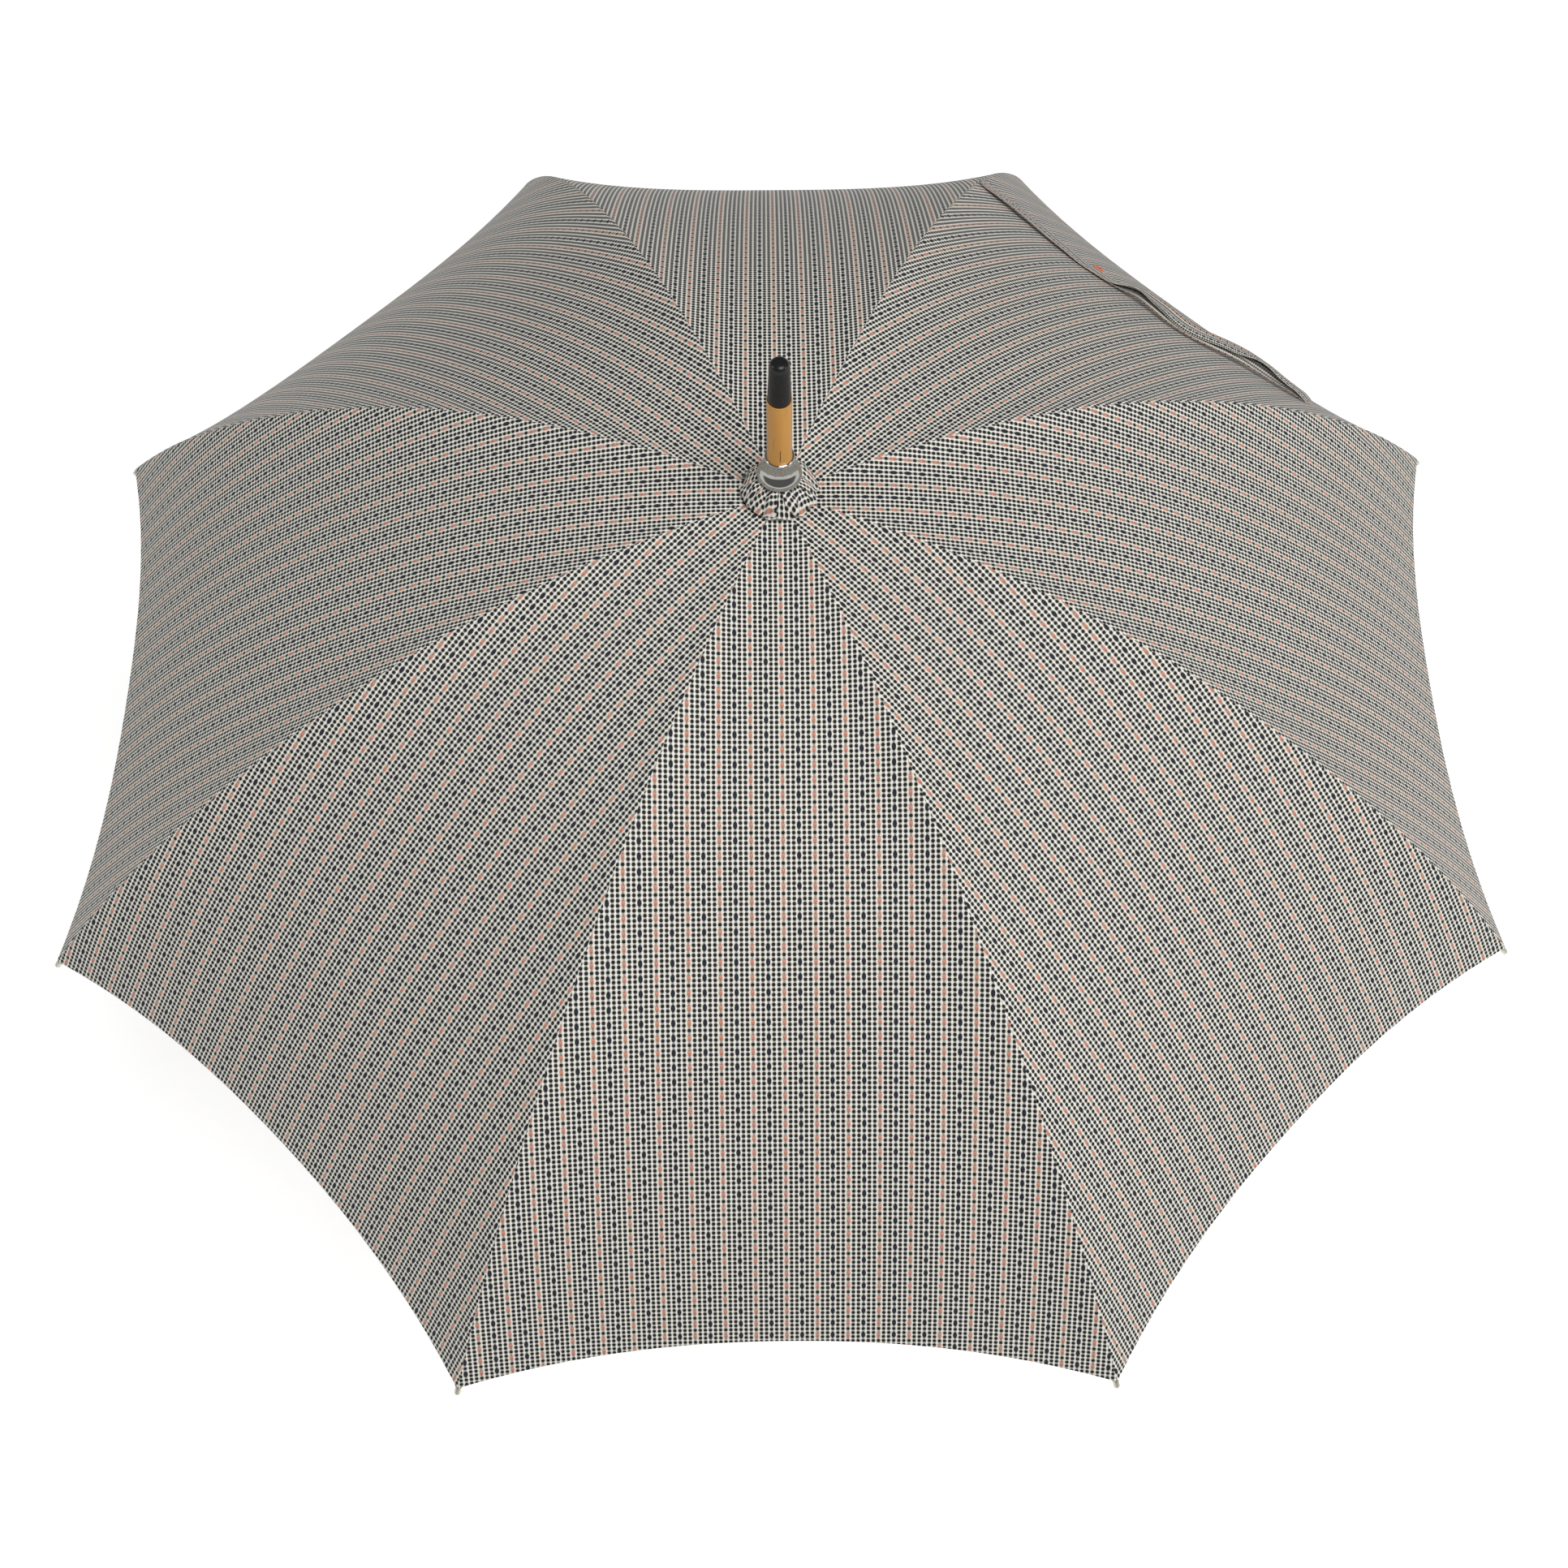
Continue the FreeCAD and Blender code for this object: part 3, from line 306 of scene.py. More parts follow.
def varnished_wood(name, light, dark, crack_level=None):
    """Satin varnished hardwood with fine pores along the stick."""
    wood = Finish(name, Coat_Roughness=0.16, Coat_IOR=1.5)
    broad = wood.noise(wood.place((60, 60, 5)), 1.0, 4.0, 0.6)
    fine = wood.noise(wood.place((900, 900, 26)), 1.0, 2.0)
    pores = ((fine - 0.66) * 9).clamped()
    base = wood.mixed((broad * 1.3 - 0.25).clamped(), light, dark)
    base = wood.mixed(pores * 0.75, base, tuple(0.35 * c for c in dark))
    if crack_level is not None:
        where = wood.place()
        side, front, level = (wood.axis(where, n) for n in range(3))
        bend = (wood.noise(wood.place((1, 1, 420)), 1.0, 2.0) - 0.5) * 0.0016
        line = (0.00028 - abs(side - 0.0004 - bend)).soft(0.0002)
        reach = (0.0055 - abs(level - crack_level)).soft(0.002) * (front < 0.0)
        crack = line * reach
        base = wood.mixed(crack * 0.9, base, (0.05, 0.02, 0.008))
        pores = (pores + crack).clamped()
    wood.give("Base Color", base)
    wood.give("Roughness", 0.34 + pores * 0.25 + broad * 0.06)
    wood.give("Coat Weight", 0.6 - pores * 0.3)
    wood.bump(1 - pores, 0.00012, 0.6)
    return wood.material


def polished_metal(name, tint, rough, wear=0.06, scratch=(60, 60, 60), depth=0.00001):
    """Plated metal with faint turning marks and cloudy wear."""
    metal = Finish(name, Metallic=1.0, Base_Color=tint)
    marks = metal.noise(metal.place(scratch), 1.0, 3.0, 0.6)
    cloud = metal.noise(metal.place(), 90, 3.0)
    metal.give("Roughness", rough + (marks - 0.5) * wear * 0.4 + (cloud - 0.5) * wear)
    metal.give("Base Color", metal.mixed((cloud * 1.4 - 0.4).clamped() * 0.35, tint,
                                         tuple(0.72 * c for c in tint)))
    metal.bump(marks, depth, 0.3)
    return metal.material


def moulded_plastic(name, tint, rough=0.30):
    """Satin moulded plastic with faint rubbing marks."""
    plastic = Finish(name, Specular_IOR_Level=0.30)
    cloud = plastic.noise(plastic.place(), 160, 3.0)
    rub = ((plastic.noise(plastic.place((500, 500, 60)), 1.0, 3.0, 0.7) - 0.60) * 6).clamped()
    plastic.give("Base Color", plastic.mixed(rub * 0.25, tint, tuple(min(1, 3.0 * c + 0.02) for c in tint)))
    plastic.give("Roughness", rough + (cloud - 0.5) * 0.16 + rub * 0.12)
    plastic.bump(cloud, 0.00006, 0.5)
    return plastic.material


FINISHES = {}


def finish(name):
    """The named finish, made when it is first asked for."""
    sizes, colours = bpy.context.scene.umbrella_sizes, bpy.context.scene.umbrella_colours
    makers = {
        "cloth": lambda: printed_cloth("Canopy Cloth", sizes, colours),
        "lining": lambda: printed_cloth("Canopy Cloth Inside", sizes, colours, 0.62),
        "wood": lambda: varnished_wood("Stick Wood", tuple(colours.wood_light), tuple(colours.wood_dark),
                                       sizes.notch_level + sizes.crack_level),
        "handle": lambda: varnished_wood("Handle Wood", tuple(0.92 * c for c in colours.wood_light),
                                         tuple(0.85 * c for c in colours.wood_dark)),
        "nickel": lambda: polished_metal("Polished Nickel", tuple(colours.nickel), 0.07, 0.03, (90, 90, 90), 0.00002),
        "cap": lambda: polished_metal("Cap Nickel", tuple(0.86 * c for c in colours.nickel), 0.08, 0.02, (90, 90, 90),
                                      0.000002),
        "steel": lambda: polished_metal("Plated Steel", tuple(colours.steel), 0.30, 0.10, (300, 300, 300)),
        "tip": lambda: polished_metal("Tip Metal", tuple(colours.tip), 0.36, 0.10, (500, 500, 500)),
        "plastic": lambda: moulded_plastic("Black Plastic", tuple(colours.plastic)),
        "button": lambda: moulded_plastic("Button Plastic", tuple(colours.button), 0.36),
    }
    if name not in FINISHES:
        FINISHES[name] = makers[name]()
    return FINISHES[name]


# ---------------------------------------------------------------- shape of ribs and gores

class Dome:
    """The open canopy: ribs of two arcs each, and a gore ruled from rib to rib."""

    def __init__(self, sizes):
        self.sizes = sizes
        self.knee, self.end = sizes.inner_length, sizes.rib_length
        self.inner_bend = self.knee / (sizes.knee_slope - sizes.hinge_slope)
        self.outer_bend = (self.end - self.knee) / (sizes.tip_slope - sizes.knee_slope)
        first = self.inner_bend
        self.inner_centre = (-first * math.sin(sizes.hinge_slope), -first * math.cos(sizes.hinge_slope))
        knee_x = self.inner_centre[0] + first * math.sin(sizes.knee_slope)
        knee_z = self.inner_centre[1] + first * math.cos(sizes.knee_slope)
        self.outer_centre = (knee_x - self.outer_bend * math.sin(sizes.knee_slope),
                             knee_z - self.outer_bend * math.cos(sizes.knee_slope))
        self.half = math.pi / RIBS
        self.step = 0.0005
        self.lengths = [0.0]
        for n in range(int((self.end + 0.02) / self.step)):
            slope = self.slope((n + 0.5) * self.step)
            self.lengths.append(self.lengths[-1] + self.step * math.hypot(
                math.cos(self.half) * math.cos(slope), math.sin(slope)))

    def slope(self, s):
        sizes = self.sizes
        if s <= self.knee:
            return sizes.hinge_slope + (sizes.knee_slope - sizes.hinge_slope) * s / self.knee
        return sizes.knee_slope + (sizes.tip_slope - sizes.knee_slope) * (s - self.knee) / (self.end - self.knee)

    def rib(self, s, lift=0.0):
        """(distance from the stick's axis, height) at s along the rib and lift above its line."""
        slope = self.slope(s)
        centre, bend = ((self.inner_centre, self.inner_bend) if s <= self.knee
                        else (self.outer_centre, self.outer_bend))
        return (self.sizes.hinge_radius + centre[0] + (bend + lift) * math.sin(slope),
                self.sizes.notch_level + centre[1] + (bend + lift) * math.cos(slope))

    def along(self, s):
        """Length along a gore's middle line."""
        place = max(0.0, min(s / self.step, len(self.lengths) - 1.001))
        n = int(place)
        return self.lengths[n] + (place - n) * (self.lengths[n + 1] - self.lengths[n]) + min(s, 0.0)

    def width(self, s):
        """Half a gore's width, from seam to middle."""
        return self.rib(s)[0] * math.sin(self.half)

    def hem(self, across):
        """Where the hem lies along the rib's curve, at a share of the way to the gore's middle."""
        return self.end - self.sizes.scallop * (1 - (1 - min(abs(across), 1.0)) ** 2)

    def gore(self, rib, across, s, drop=0.0):
        """Point of the cloth: across is 0 at the rib, 1 or -1 at a gore's middle; drop is depth below its face."""
        out, up = self.rib(s, self.sizes.cloth_lift - drop)
        turn = 1 - math.cos(self.half) ** 2
        share = abs(across)
        point = Vector((out * (1 - turn * share), out * math.sin(self.half) * math.cos(self.half) * across, up))
        slope = self.slope(s)
        side = math.copysign(1, across)
        inward = Vector((math.sin(slope) * math.cos(self.half), side * math.sin(slope) * math.sin(self.half),
                         math.cos(self.half) * math.cos(slope))).normalized()
        inside = share if share <= 1 else 2 - share
        hollow = (self.sizes.sag * math.sin(math.pi / 2 * max(0.0, min(s / FULL_HOLLOW_AT, 1.0)))
                  * (1 - (1 - inside) ** 3))
        point -= inward * hollow
        return Matrix.Rotation(rib_azimuth(rib), 3, "Z") @ point

    def weave(self, rib, across, side, s):
        """The print's (across, along) lengths at a point of the cloth, on one side of a rib."""
        gore = rib if side > 0 else (rib - 2) % RIBS + 1
        middle = -side * self.width(s) * (1 - abs(across))
        columns, rows = GORE_PHASE[gore]
        return (middle + columns * self.sizes.column_pitch, self.along(s) + rows * self.sizes.row_pitch)


# From where down the rib a gore has its full hollow.
FULL_HOLLOW_AT = 0.45
# Columns and rows by which each gore's print is shifted.
GORE_PHASE = {1: (1.0, 0.4), 2: (4.0, 1.7), 3: (2.2, 0.9), 4: (5.3, 2.3), 5: (3.0, 1.2), 6: (0.6, 0.2),
              7: (2.7, 2.6), 8: (0.0, 1.5)}
# Ridge of the seam over a rib: (distance from the rib, dip below the cloth's face).
SEAM = ((0.0, 0.00050), (0.00045, 0.00034), (0.0010, 0.00002), (0.0022, -0.00014), (0.0046, 0.0))


def rib_azimuth(rib):
    return math.radians(-67.5 + 45 * (rib - 1))


def rib_sideways(rib):
    return (-math.sin(rib_azimuth(rib)), math.cos(rib_azimuth(rib)), 0)


def rib_hinge(rib, sizes):
    return (sizes.hinge_radius * math.cos(rib_azimuth(rib)), sizes.hinge_radius * math.sin(rib_azimuth(rib)),
            sizes.notch_level)


def seam_columns(width, cells):
    """(share of the half gore, dip) of each column of the cloth, from the seam to the gore's middle."""
    scale = min(1.0, width / 0.012)
    near = [(across * scale / width, dip * scale) for across, dip in SEAM]
    left = cells + 1 - len(near)
    first = near[-1][0]
    return near + [(first + (1 - first) * (n + 1) / left, 0.0) for n in range(left)]


def lay_grid(bm, across, along, place, weave):
    """A grid of cells laid where place(column, row) says, its print laid where weave(column, row, side) says."""
    corners = bmesh.ops.create_grid(bm, x_segments=across, y_segments=along, size=1)["verts"]
    columns = {value: n for n, value in enumerate(sorted({round(v.co.x, 5) for v in corners}))}
    rows = {value: n for n, value in enumerate(sorted({round(v.co.y, 5) for v in corners}))}
    at = {v: (columns[round(v.co.x, 5)], rows[round(v.co.y, 5)]) for v in corners}
    print_layer = bm.loops.layers.uv["weave"]
    for face in {face for v in corners for face in v.link_faces}:
        middle = sum(at[v][0] for v in face.verts) / len(face.verts)
        for loop in face.loops:
            loop[print_layer].uv = weave(*at[loop.vert], middle)
        face.smooth = True
    for v in corners:
        v.co = place(*at[v])


def new_cloth():
    """An empty bmesh with the layer that places the print."""
    bm = bmesh.new()
    bm.loops.layers.uv.new("weave")
    return bm


def lay_cloth(bm, dome, rib, rows):
    """One cloth over a rib, half a gore to each side.

    rows holds (reach, drop) pairs: reach gives s for a share across, drop is the depth below the cloth's face.
    """
    cells = dome.sizes.cells_across
    columns = [seam_columns(dome.width(reach(0.0)), cells) for reach, drop in rows]

    def corner(column, row):
        n = cells - column
        share, dip = columns[row][abs(n)]
        reach, drop = rows[row]
        return math.copysign(share, n) if n else 0.0, reach(share), drop + dip

    def place(column, row):
        across, s, drop = corner(column, row)
        return dome.gore(rib, across, s, drop)

    def weave(column, row, middle):
        across, s, drop = corner(column, row)
        return dome.weave(rib, across, 1 if middle < cells else -1, s)

    lay_grid(bm, 2 * cells, len(rows) - 1, place, weave)


def lay_flap(bm, dome, rib, side, stations, cells=4):
    """A hidden lap beside a gore's middle.

    stations holds (s, share where the lap starts, share where it ends, drop) for each row.
    """
    def corner(column, row):
        s, start, stop, drop = stations[row]
        n = cells - column if side > 0 else column
        return side * (start + (stop - start) * n / cells), s, drop

    def place(column, row):
        across, s, drop = corner(column, row)
        return dome.gore(rib, across, s, drop)

    def weave(column, row, middle):
        across, s, drop = corner(column, row)
        return dome.weave(rib, across, side, s)

    lay_grid(bm, cells, len(stations) - 1, place, weave)


def finished(bm, name, materials, sharp=None):
    """The mesh object of a finished bmesh, at the origin."""
    mesh = bpy.data.meshes.new(name)
    for edge in bm.edges:
        edge.smooth = edge.is_manifold and (sharp is None or edge.calc_face_angle(0) <= sharp)
    for face in bm.faces:
        face.smooth = True
    bm.to_mesh(mesh)
    bm.free()
    for material in materials:
        mesh.materials.append(material)
    piece = bpy.data.objects.new(name, mesh)
    bpy.context.scene.collection.objects.link(piece)
    return piece


def thicken(piece, thickness, inside=0):
    """Give a sheet its thickness, inwards from its outer face."""
    wall = piece.modifiers.new("Cloth", "SOLIDIFY")
    wall.thickness = thickness
    wall.offset = -1
    wall.material_offset = inside
    wall.material_offset_rim = 0


def cut_area(bm):
    """Flat area of a sheet, before it gets its thickness."""
    return sum(face.calc_area() for face in bm.faces)


# ---------------------------------------------------------------- canopy

# Where the hidden lap of the inner cloth starts and where it stops along the rib.
LAP_FROM, LAP_TO, LAP_ROWS = 0.97, 0.24, 16


def lap_end(s):
    """How far past the middle of a gore the hidden lap reaches, so that the folded canopy stays closed."""
    return min(1.93, 1.06 + 8.0 * (LAP_TO - s))


def spaced(start, stop, count, ease):
    """Stations from start to stop with a short cell of that length at each end."""
    inner = [start + ease + (stop - start - 2 * ease) * n / (count - 2) for n in range(count - 1)]
    return [start] + inner + [stop]


class UMBRELLA_OT_inner_cloth(Operator):
    """Model the canopy cloth from the crown to the knees of the ribs"""
    bl_idname = "umbrella.inner_cloth"
    bl_label = "Inner Canopy Cloth"

    def execute(self, context):
        sizes = context.scene.umbrella_sizes
        dome = Dome(sizes)
        for rib in range(1, RIBS + 1):
            bm = new_cloth()
            lay_cloth(bm, dome, rib, [((lambda share, s=s: s), 0.0)
                                      for s in spaced(-0.001, dome.knee, sizes.cells_along, 0.0006)])
            stations = [-0.001 + (LAP_TO + 0.001) * n / LAP_ROWS for n in range(LAP_ROWS + 1)]
            for side in (1, -1):
                lay_flap(bm, dome, rib, side, [(s, LAP_FROM, lap_end(s), 0.00042) for s in stations], 6)
            area = cut_area(bm)
            piece = finished(bm, f"inner_cloth_{rib}", [finish("cloth"), finish("lining")])
            thicken(piece, sizes.cloth_thickness, 1)
            half = max([dome.width(dome.knee)] + [dome.width(s) * lap_end(s) for s in stations])
            2 * half
            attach(piece, f"rib_inner_{rib}")
            rib_sideways(rib)
            rib_hinge(rib, sizes)
            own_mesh(piece)
            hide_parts(f"canopy_panel_{rib}")
        return {"FINISHED"}


class UMBRELLA_OT_outer_cloth(Operator):
    """Model the canopy cloth from the knees of the ribs to the turned hem"""
    bl_idname = "umbrella.outer_cloth"
    bl_label = "Outer Canopy Cloth"

    def execute(self, context):
        sizes = context.scene.umbrella_sizes
        dome = Dome(sizes)
        for rib in range(1, RIBS + 1):
            bm = new_cloth()
            shares = [n / sizes.cells_along for n in range(sizes.cells_along + 1)]
            shares.insert(1, 0.002)
            shares.insert(-1, 0.996)
            rows = [((lambda across, b=b: dome.knee + b * (dome.hem(across) - dome.knee)), 0.0) for b in shares]
            for beyond, drop in ((0.0003, 0.00015), (0.0004, 0.00045), (-0.0001, 0.00075), (-0.0025, 0.00078),
                                 (-0.0052, 0.00078)):
                rows.append(((lambda across, e=beyond: dome.hem(across) + e), drop))
            lay_cloth(bm, dome, rib, rows)

            def lap(across):
                """Where the part hidden under the inner cloth starts."""
                return dome.knee - 0.004 - 0.034 * abs(across) ** 1.5
            lay_cloth(bm, dome, rib, [((lambda across, b=b: lap(across) + b * (dome.knee + 0.002 - lap(across))),
                                       0.0009) for b in (0, 0.25, 0.5, 0.75, 1)])
            area = cut_area(bm)
            piece = finished(bm, f"outer_cloth_{rib}", [finish("cloth"), finish("lining")])
            thicken(piece, sizes.cloth_thickness, 1)
            2 * dome.width(dome.end)
            dome.end + 0.006 - lap(1.0)
            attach(piece, f"rib_outer_{rib}")
            rib_sideways(rib)
            rib_hinge(rib, sizes)
            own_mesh(piece)
            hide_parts(f"canopy_panel_{rib}")
        return {"FINISHED"}


# ---------------------------------------------------------------- crown

def flowing(points, steps):
    """A smooth line through the points, as points steps times closer."""
    line = []
    for n in range(len(points) - 1):
        before = points[max(n - 1, 0)]
        here, there = points[n], points[n + 1]
        after = points[min(n + 2, len(points) - 1)]
        for k in range(steps):
            t = k / steps
            line.append(tuple(0.5 * (2 * b + (c - a) * t + (2 * a - 5 * b + 4 * c - d) * t * t
                                     + (3 * b - a - 3 * c + d) * t ** 3)
                              for a, b, c, d in zip(before, here, there, after)))
    return line + [points[-1]]


def lathe(profile, level, turns=96):
    """A closed solid turned round the stick's axis, its foot at a level.

    The profile is (radius, height) points in millimetres that start and end on the axis or form a loop.
    """
    bm = bmesh.new()
    line = [bm.verts.new((radius * MM, 0, level + height * MM)) for radius, height in profile]
    edges = [bm.edges.new(pair) for pair in zip(line, line[1:])]
    if profile[0][0] > 0:
        edges.append(bm.edges.new((line[-1], line[0])))
    bmesh.ops.spin(bm, geom=line + edges, cent=(0, 0, 0), axis=(0, 0, 1), angle=math.tau, steps=turns,
                   use_merge=True, use_duplicate=False)
    bmesh.ops.remove_doubles(bm, verts=bm.verts, dist=0.000004)
    bmesh.ops.recalc_face_normals(bm, faces=bm.faces)
    return bm


class UMBRELLA_OT_crown(Operator):
    """Model the nickel cap, the thin ring and the black point on top of the stick"""
    bl_idname = "umbrella.crown"
    bl_label = "Crown Fittings"

    def execute(self, context):
        sizes = context.scene.umbrella_sizes
        foot = sizes.notch_level + sizes.cap_foot
        bell = flowing([(13.85, 0.0), (14.15, 0.4), (14.2, 1.0), (14.05, 2.1), (13.5, 3.7), (12.45, 5.6), (11.1, 7.8),
                        (10.05, 10.2), (9.4, 12.8), (9.0, 15.0), (8.95, 15.9)], 5)
        lip = flowing([(8.95, 15.9), (9.15, 16.15), (9.2, 16.5), (9.0, 16.9), (8.6, 17.1), (8.02, 17.15)], 4)
        inside = flowing([(8.02, 11.8), (9.2, 9.6), (10.4, 7.3), (11.8, 4.8), (12.8, 3.0), (13.2, 1.5), (13.3, 0.3),
                          (13.45, 0.0)], 4)
        cap = finished(lathe(bell[:-1] + lip + inside, foot, 128), "cap_bell", [finish("cap")],
                       sharp=math.radians(50))
        ring_line = flowing([(8.02, 0.1), (8.9, 0.1), (9.35, 0.35), (9.5, 0.9), (9.42, 1.5), (9.1, 2.0), (8.6, 2.2),
                             (8.02, 2.2)], 4)
        ring = finished(lathe(ring_line, foot + sizes.cap_height, 128), "bright_ring", [finish("nickel")],
                        sharp=math.radians(60))
        end = sizes.point_length / MM
        bore = end - 9.0
        outside = flowing([(7.0, 0.0), (7.22, 0.12), (7.28, 0.5), (7.1, 8.0), (6.75, 17.0), (6.52, 25.0), (6.4, 29.4),
                           (6.1, 31.2), (5.5, 32.9), (4.3, 34.05), (2.5, 34.65), (0.0, end)], 5)
        point_line = [(0.0, bore), (5.0, bore), (5.0, 0.0)] + outside
        point = finished(lathe(point_line, sizes.notch_level + sizes.wood_top, 96), "black_point",
                         [finish("plastic")], sharp=math.radians(50))
        for piece, node, slot in ((cap, "crown_cap", "nickel"), (ring, "ferrule_ring", "nickel"),
                                  (point, "ferrule_point", "black_plastic")):
            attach(piece, "stick")
            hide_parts(node)
        return {"FINISHED"}


# Flaps of the gathered patch: direction in degrees, half width, reach, sideways lean, height over the cloth.
FLAPS = ((-92, 8.4, 23.0, 0.04, 0.3), (-64, 6.2, 22.6, -0.34, 1.7), (-38, 8.8, 24.2, 0.22, 0.7),
         (-8, 7.6, 23.2, -0.30, 2.1), (20, 8.2, 24.0, 0.26, 1.0), (52, 7.4, 23.0, -0.22, 1.6),
         (80, 8.6, 24.0, 0.20, 0.5), (112, 7.2, 22.6, -0.28, 1.5), (140, 8.4, 24.0, 0.24, 0.8),
         (170, 7.8, 23.4, -0.32, 2.2), (196, 8.6, 24.2, 0.28, 1.0), (222, 7.6, 23.4, -0.24, 1.7),
         (246, 5.4, 22.8, 0.46, 2.3))


class UMBRELLA_OT_rosette(Operator):
    """Model the gathered patch of cloth under the cap, flap over flap"""
    bl_idname = "umbrella.rosette"
    bl_label = "Rosette"

    def execute(self, context):
        sizes = context.scene.umbrella_sizes
        bm = new_cloth()
        cells, turns = 10, 96
        side = math.tau / RIBS
        inner, outer = 9.2, 22.5

        def disc_place(column, row):
            """The flat-sided patch under the flaps, one side to each gore."""
            turn, share = -math.tau * column / turns, row / cells
            reach = outer * math.cos(side / 2) / math.cos((turn + side / 2) % side - side / 2)
            radius = inner + (reach - inner) * share
            height = 21.5 - 11.0 * share ** 0.7 - 4.8 * share ** 3
            return Vector((radius * math.cos(turn) * MM, radius * math.sin(turn) * MM,
                           sizes.notch_level + height * MM))

        lay_grid(bm, turns, cells, disc_place,
                 lambda column, row, middle: (column / turns * 0.1, row / cells * 0.016))
        bmesh.ops.remove_doubles(bm, verts=bm.verts, dist=0.00001)
        for number, (direction, half, reach, lean, over) in enumerate(FLAPS):
            def place(column, row):
                """A flap in millimetres: out from the stick, offset sideways, height over the hinges."""
                across, share = 1 - 2 * column / cells, row / cells
                widen = 0.62 + 0.38 * share + 0.10 * math.sin(number * 2.1)
                offset = half * widen * across + 1.6 * math.sin(1.7 * number) * share
                out = 9.4 + (reach - 9.4) * share - 0.9 * abs(across) ** 3 * share
                out += 0.8 * math.sin(number) * across * share
                base = 21.8 - 10.2 * share ** 0.75 - 5.6 * share ** 3
                arch = (1.6 + over) * math.sin(math.pi * min(0.10 + 0.84 * share, 1.0)) ** 0.7
                crease = (2.4 + 1.0 * math.sin(3.3 * number)) * (0.5 - abs(across + 0.3 * math.sin(1.3 * number)))
                height = base + arch + crease * min(1.0, 2.5 * share)
                height += 1.5 * lean * half * across * math.sin(math.pi * min(0.12 + share * 0.7, 1.0))
                height = min(height, 25.2)
                height = max(height, 4.9 + 0.9 * share + over * 0.35 if share > 0.6 else 0)
                return (Matrix.Rotation(math.radians(direction), 3, "Z")
                        @ Vector((out * MM, offset * MM, sizes.notch_level + height * MM)))

            def weave(column, row, middle):
                """The print, turned differently on every flap."""
                turned = 0.9 * number
                u, v = half * 2 * column / cells * MM, (reach - 9) * row / cells * MM * 1.25
                return (u * math.cos(turned) - v * math.sin(turned) + 0.01 * number,
                        u * math.sin(turned) + v * math.cos(turned))

            lay_grid(bm, cells, cells, place, weave)
        area = cut_area(bm)
        piece = finished(bm, "rosette_cloth", [finish("cloth"), finish("lining")])
        thicken(piece, 0.0006, 0)
        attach(piece, "stick")
        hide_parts("canopy_rosette")
        return {"FINISHED"}


class UMBRELLA_OT_tips(Operator):
    """Model the eight metal rib tips"""
    bl_idname = "umbrella.rib_tips"
    bl_label = "Rib Tips"

    def execute(self, context):
        sizes = context.scene.umbrella_sizes
        dome = Dome(sizes)
        out, up = dome.rib(dome.end)
        slope = sizes.tip_slope
        cover = 8.0
        line = [(0.0, cover), (1.62, cover), (1.62, 0.2), (1.75, 0.0)] + flowing(
            [(1.9, 0.0), (2.06, 0.2), (2.1, 0.6), (2.0, 4.0), (1.96, 8.2), (2.1, 8.8), (2.12, 12.8), (2.0, 13.9),
             (1.6, 14.6), (0.9, 14.95), (0.0, 15.0)], 4)
        foot = Vector((out - cover * MM * math.cos(slope), 0, up + cover * MM * math.sin(slope)))
        lean = Matrix.Rotation(math.pi / 2 + slope, 4, "Y")
        for rib in range(1, RIBS + 1):
            bm = lathe(line, 0.0, 32)
            turn = Matrix.Rotation(rib_azimuth(rib), 4, "Z")
            bmesh.ops.transform(bm, matrix=turn @ Matrix.Translation(foot) @ lean, verts=bm.verts)
            piece = finished(bm, f"tip_cap_{rib}", [finish("tip")], sharp=math.radians(50))
            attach(piece, f"rib_outer_{rib}")
            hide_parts(f"rib_tip_{rib}")
        return {"FINISHED"}


# ---------------------------------------------------------------- tie strap

# The strap's middle line: (place down the rib's curve, offset from the gore's middle towards rib 4).
STRAP_PATH = ((0.425, 0.155), (0.445, 0.105), (0.450, 0.055), (0.460, 0.010), (0.460, -0.035), (0.490, -0.085),
              (0.495, -0.140))
# Against the share of the strap's length: height over the cloth, tilt in degrees, gap between its two layers.
STRAP_RISE = ((0.0, 0.0002), (0.10, 0.0026), (0.26, 0.0014), (0.33, 0.0004), (0.42, 0.0006), (0.52, 0.0034),
              (0.66, 0.0022), (0.80, 0.0042), (0.92, 0.0022), (1.0, 0.0004))
STRAP_TILT = ((0.0, 0.0), (0.42, 1.0), (0.52, 14.0), (0.60, 20.0), (0.72, 14.0), (0.86, 20.0), (0.95, 10.0),
              (1.0, 2.0))
STRAP_GAPE = ((0.0, 0.0002), (0.24, 0.0006), (0.34, 0.0002), (0.40, 0.0004), (0.49, 0.0056), (0.58, 0.0040),
              (0.67, 0.0016), (0.78, 0.0040), (0.86, 0.0080), (0.94, 0.0030), (1.0, 0.0001))
BUTTON_AT = (0.4642, 0.050)


def between(table, t):
    """A number read from (place, number) pairs, eased from one to the next."""
    for (low, at_low), (high, at_high) in zip(table, table[1:]):
        if t <= high:
            share = max(0.0, (t - low) / (high - low))
            share = share * share * (3 - 2 * share)
            return at_low + (at_high - at_low) * share
    return table[-1][1]


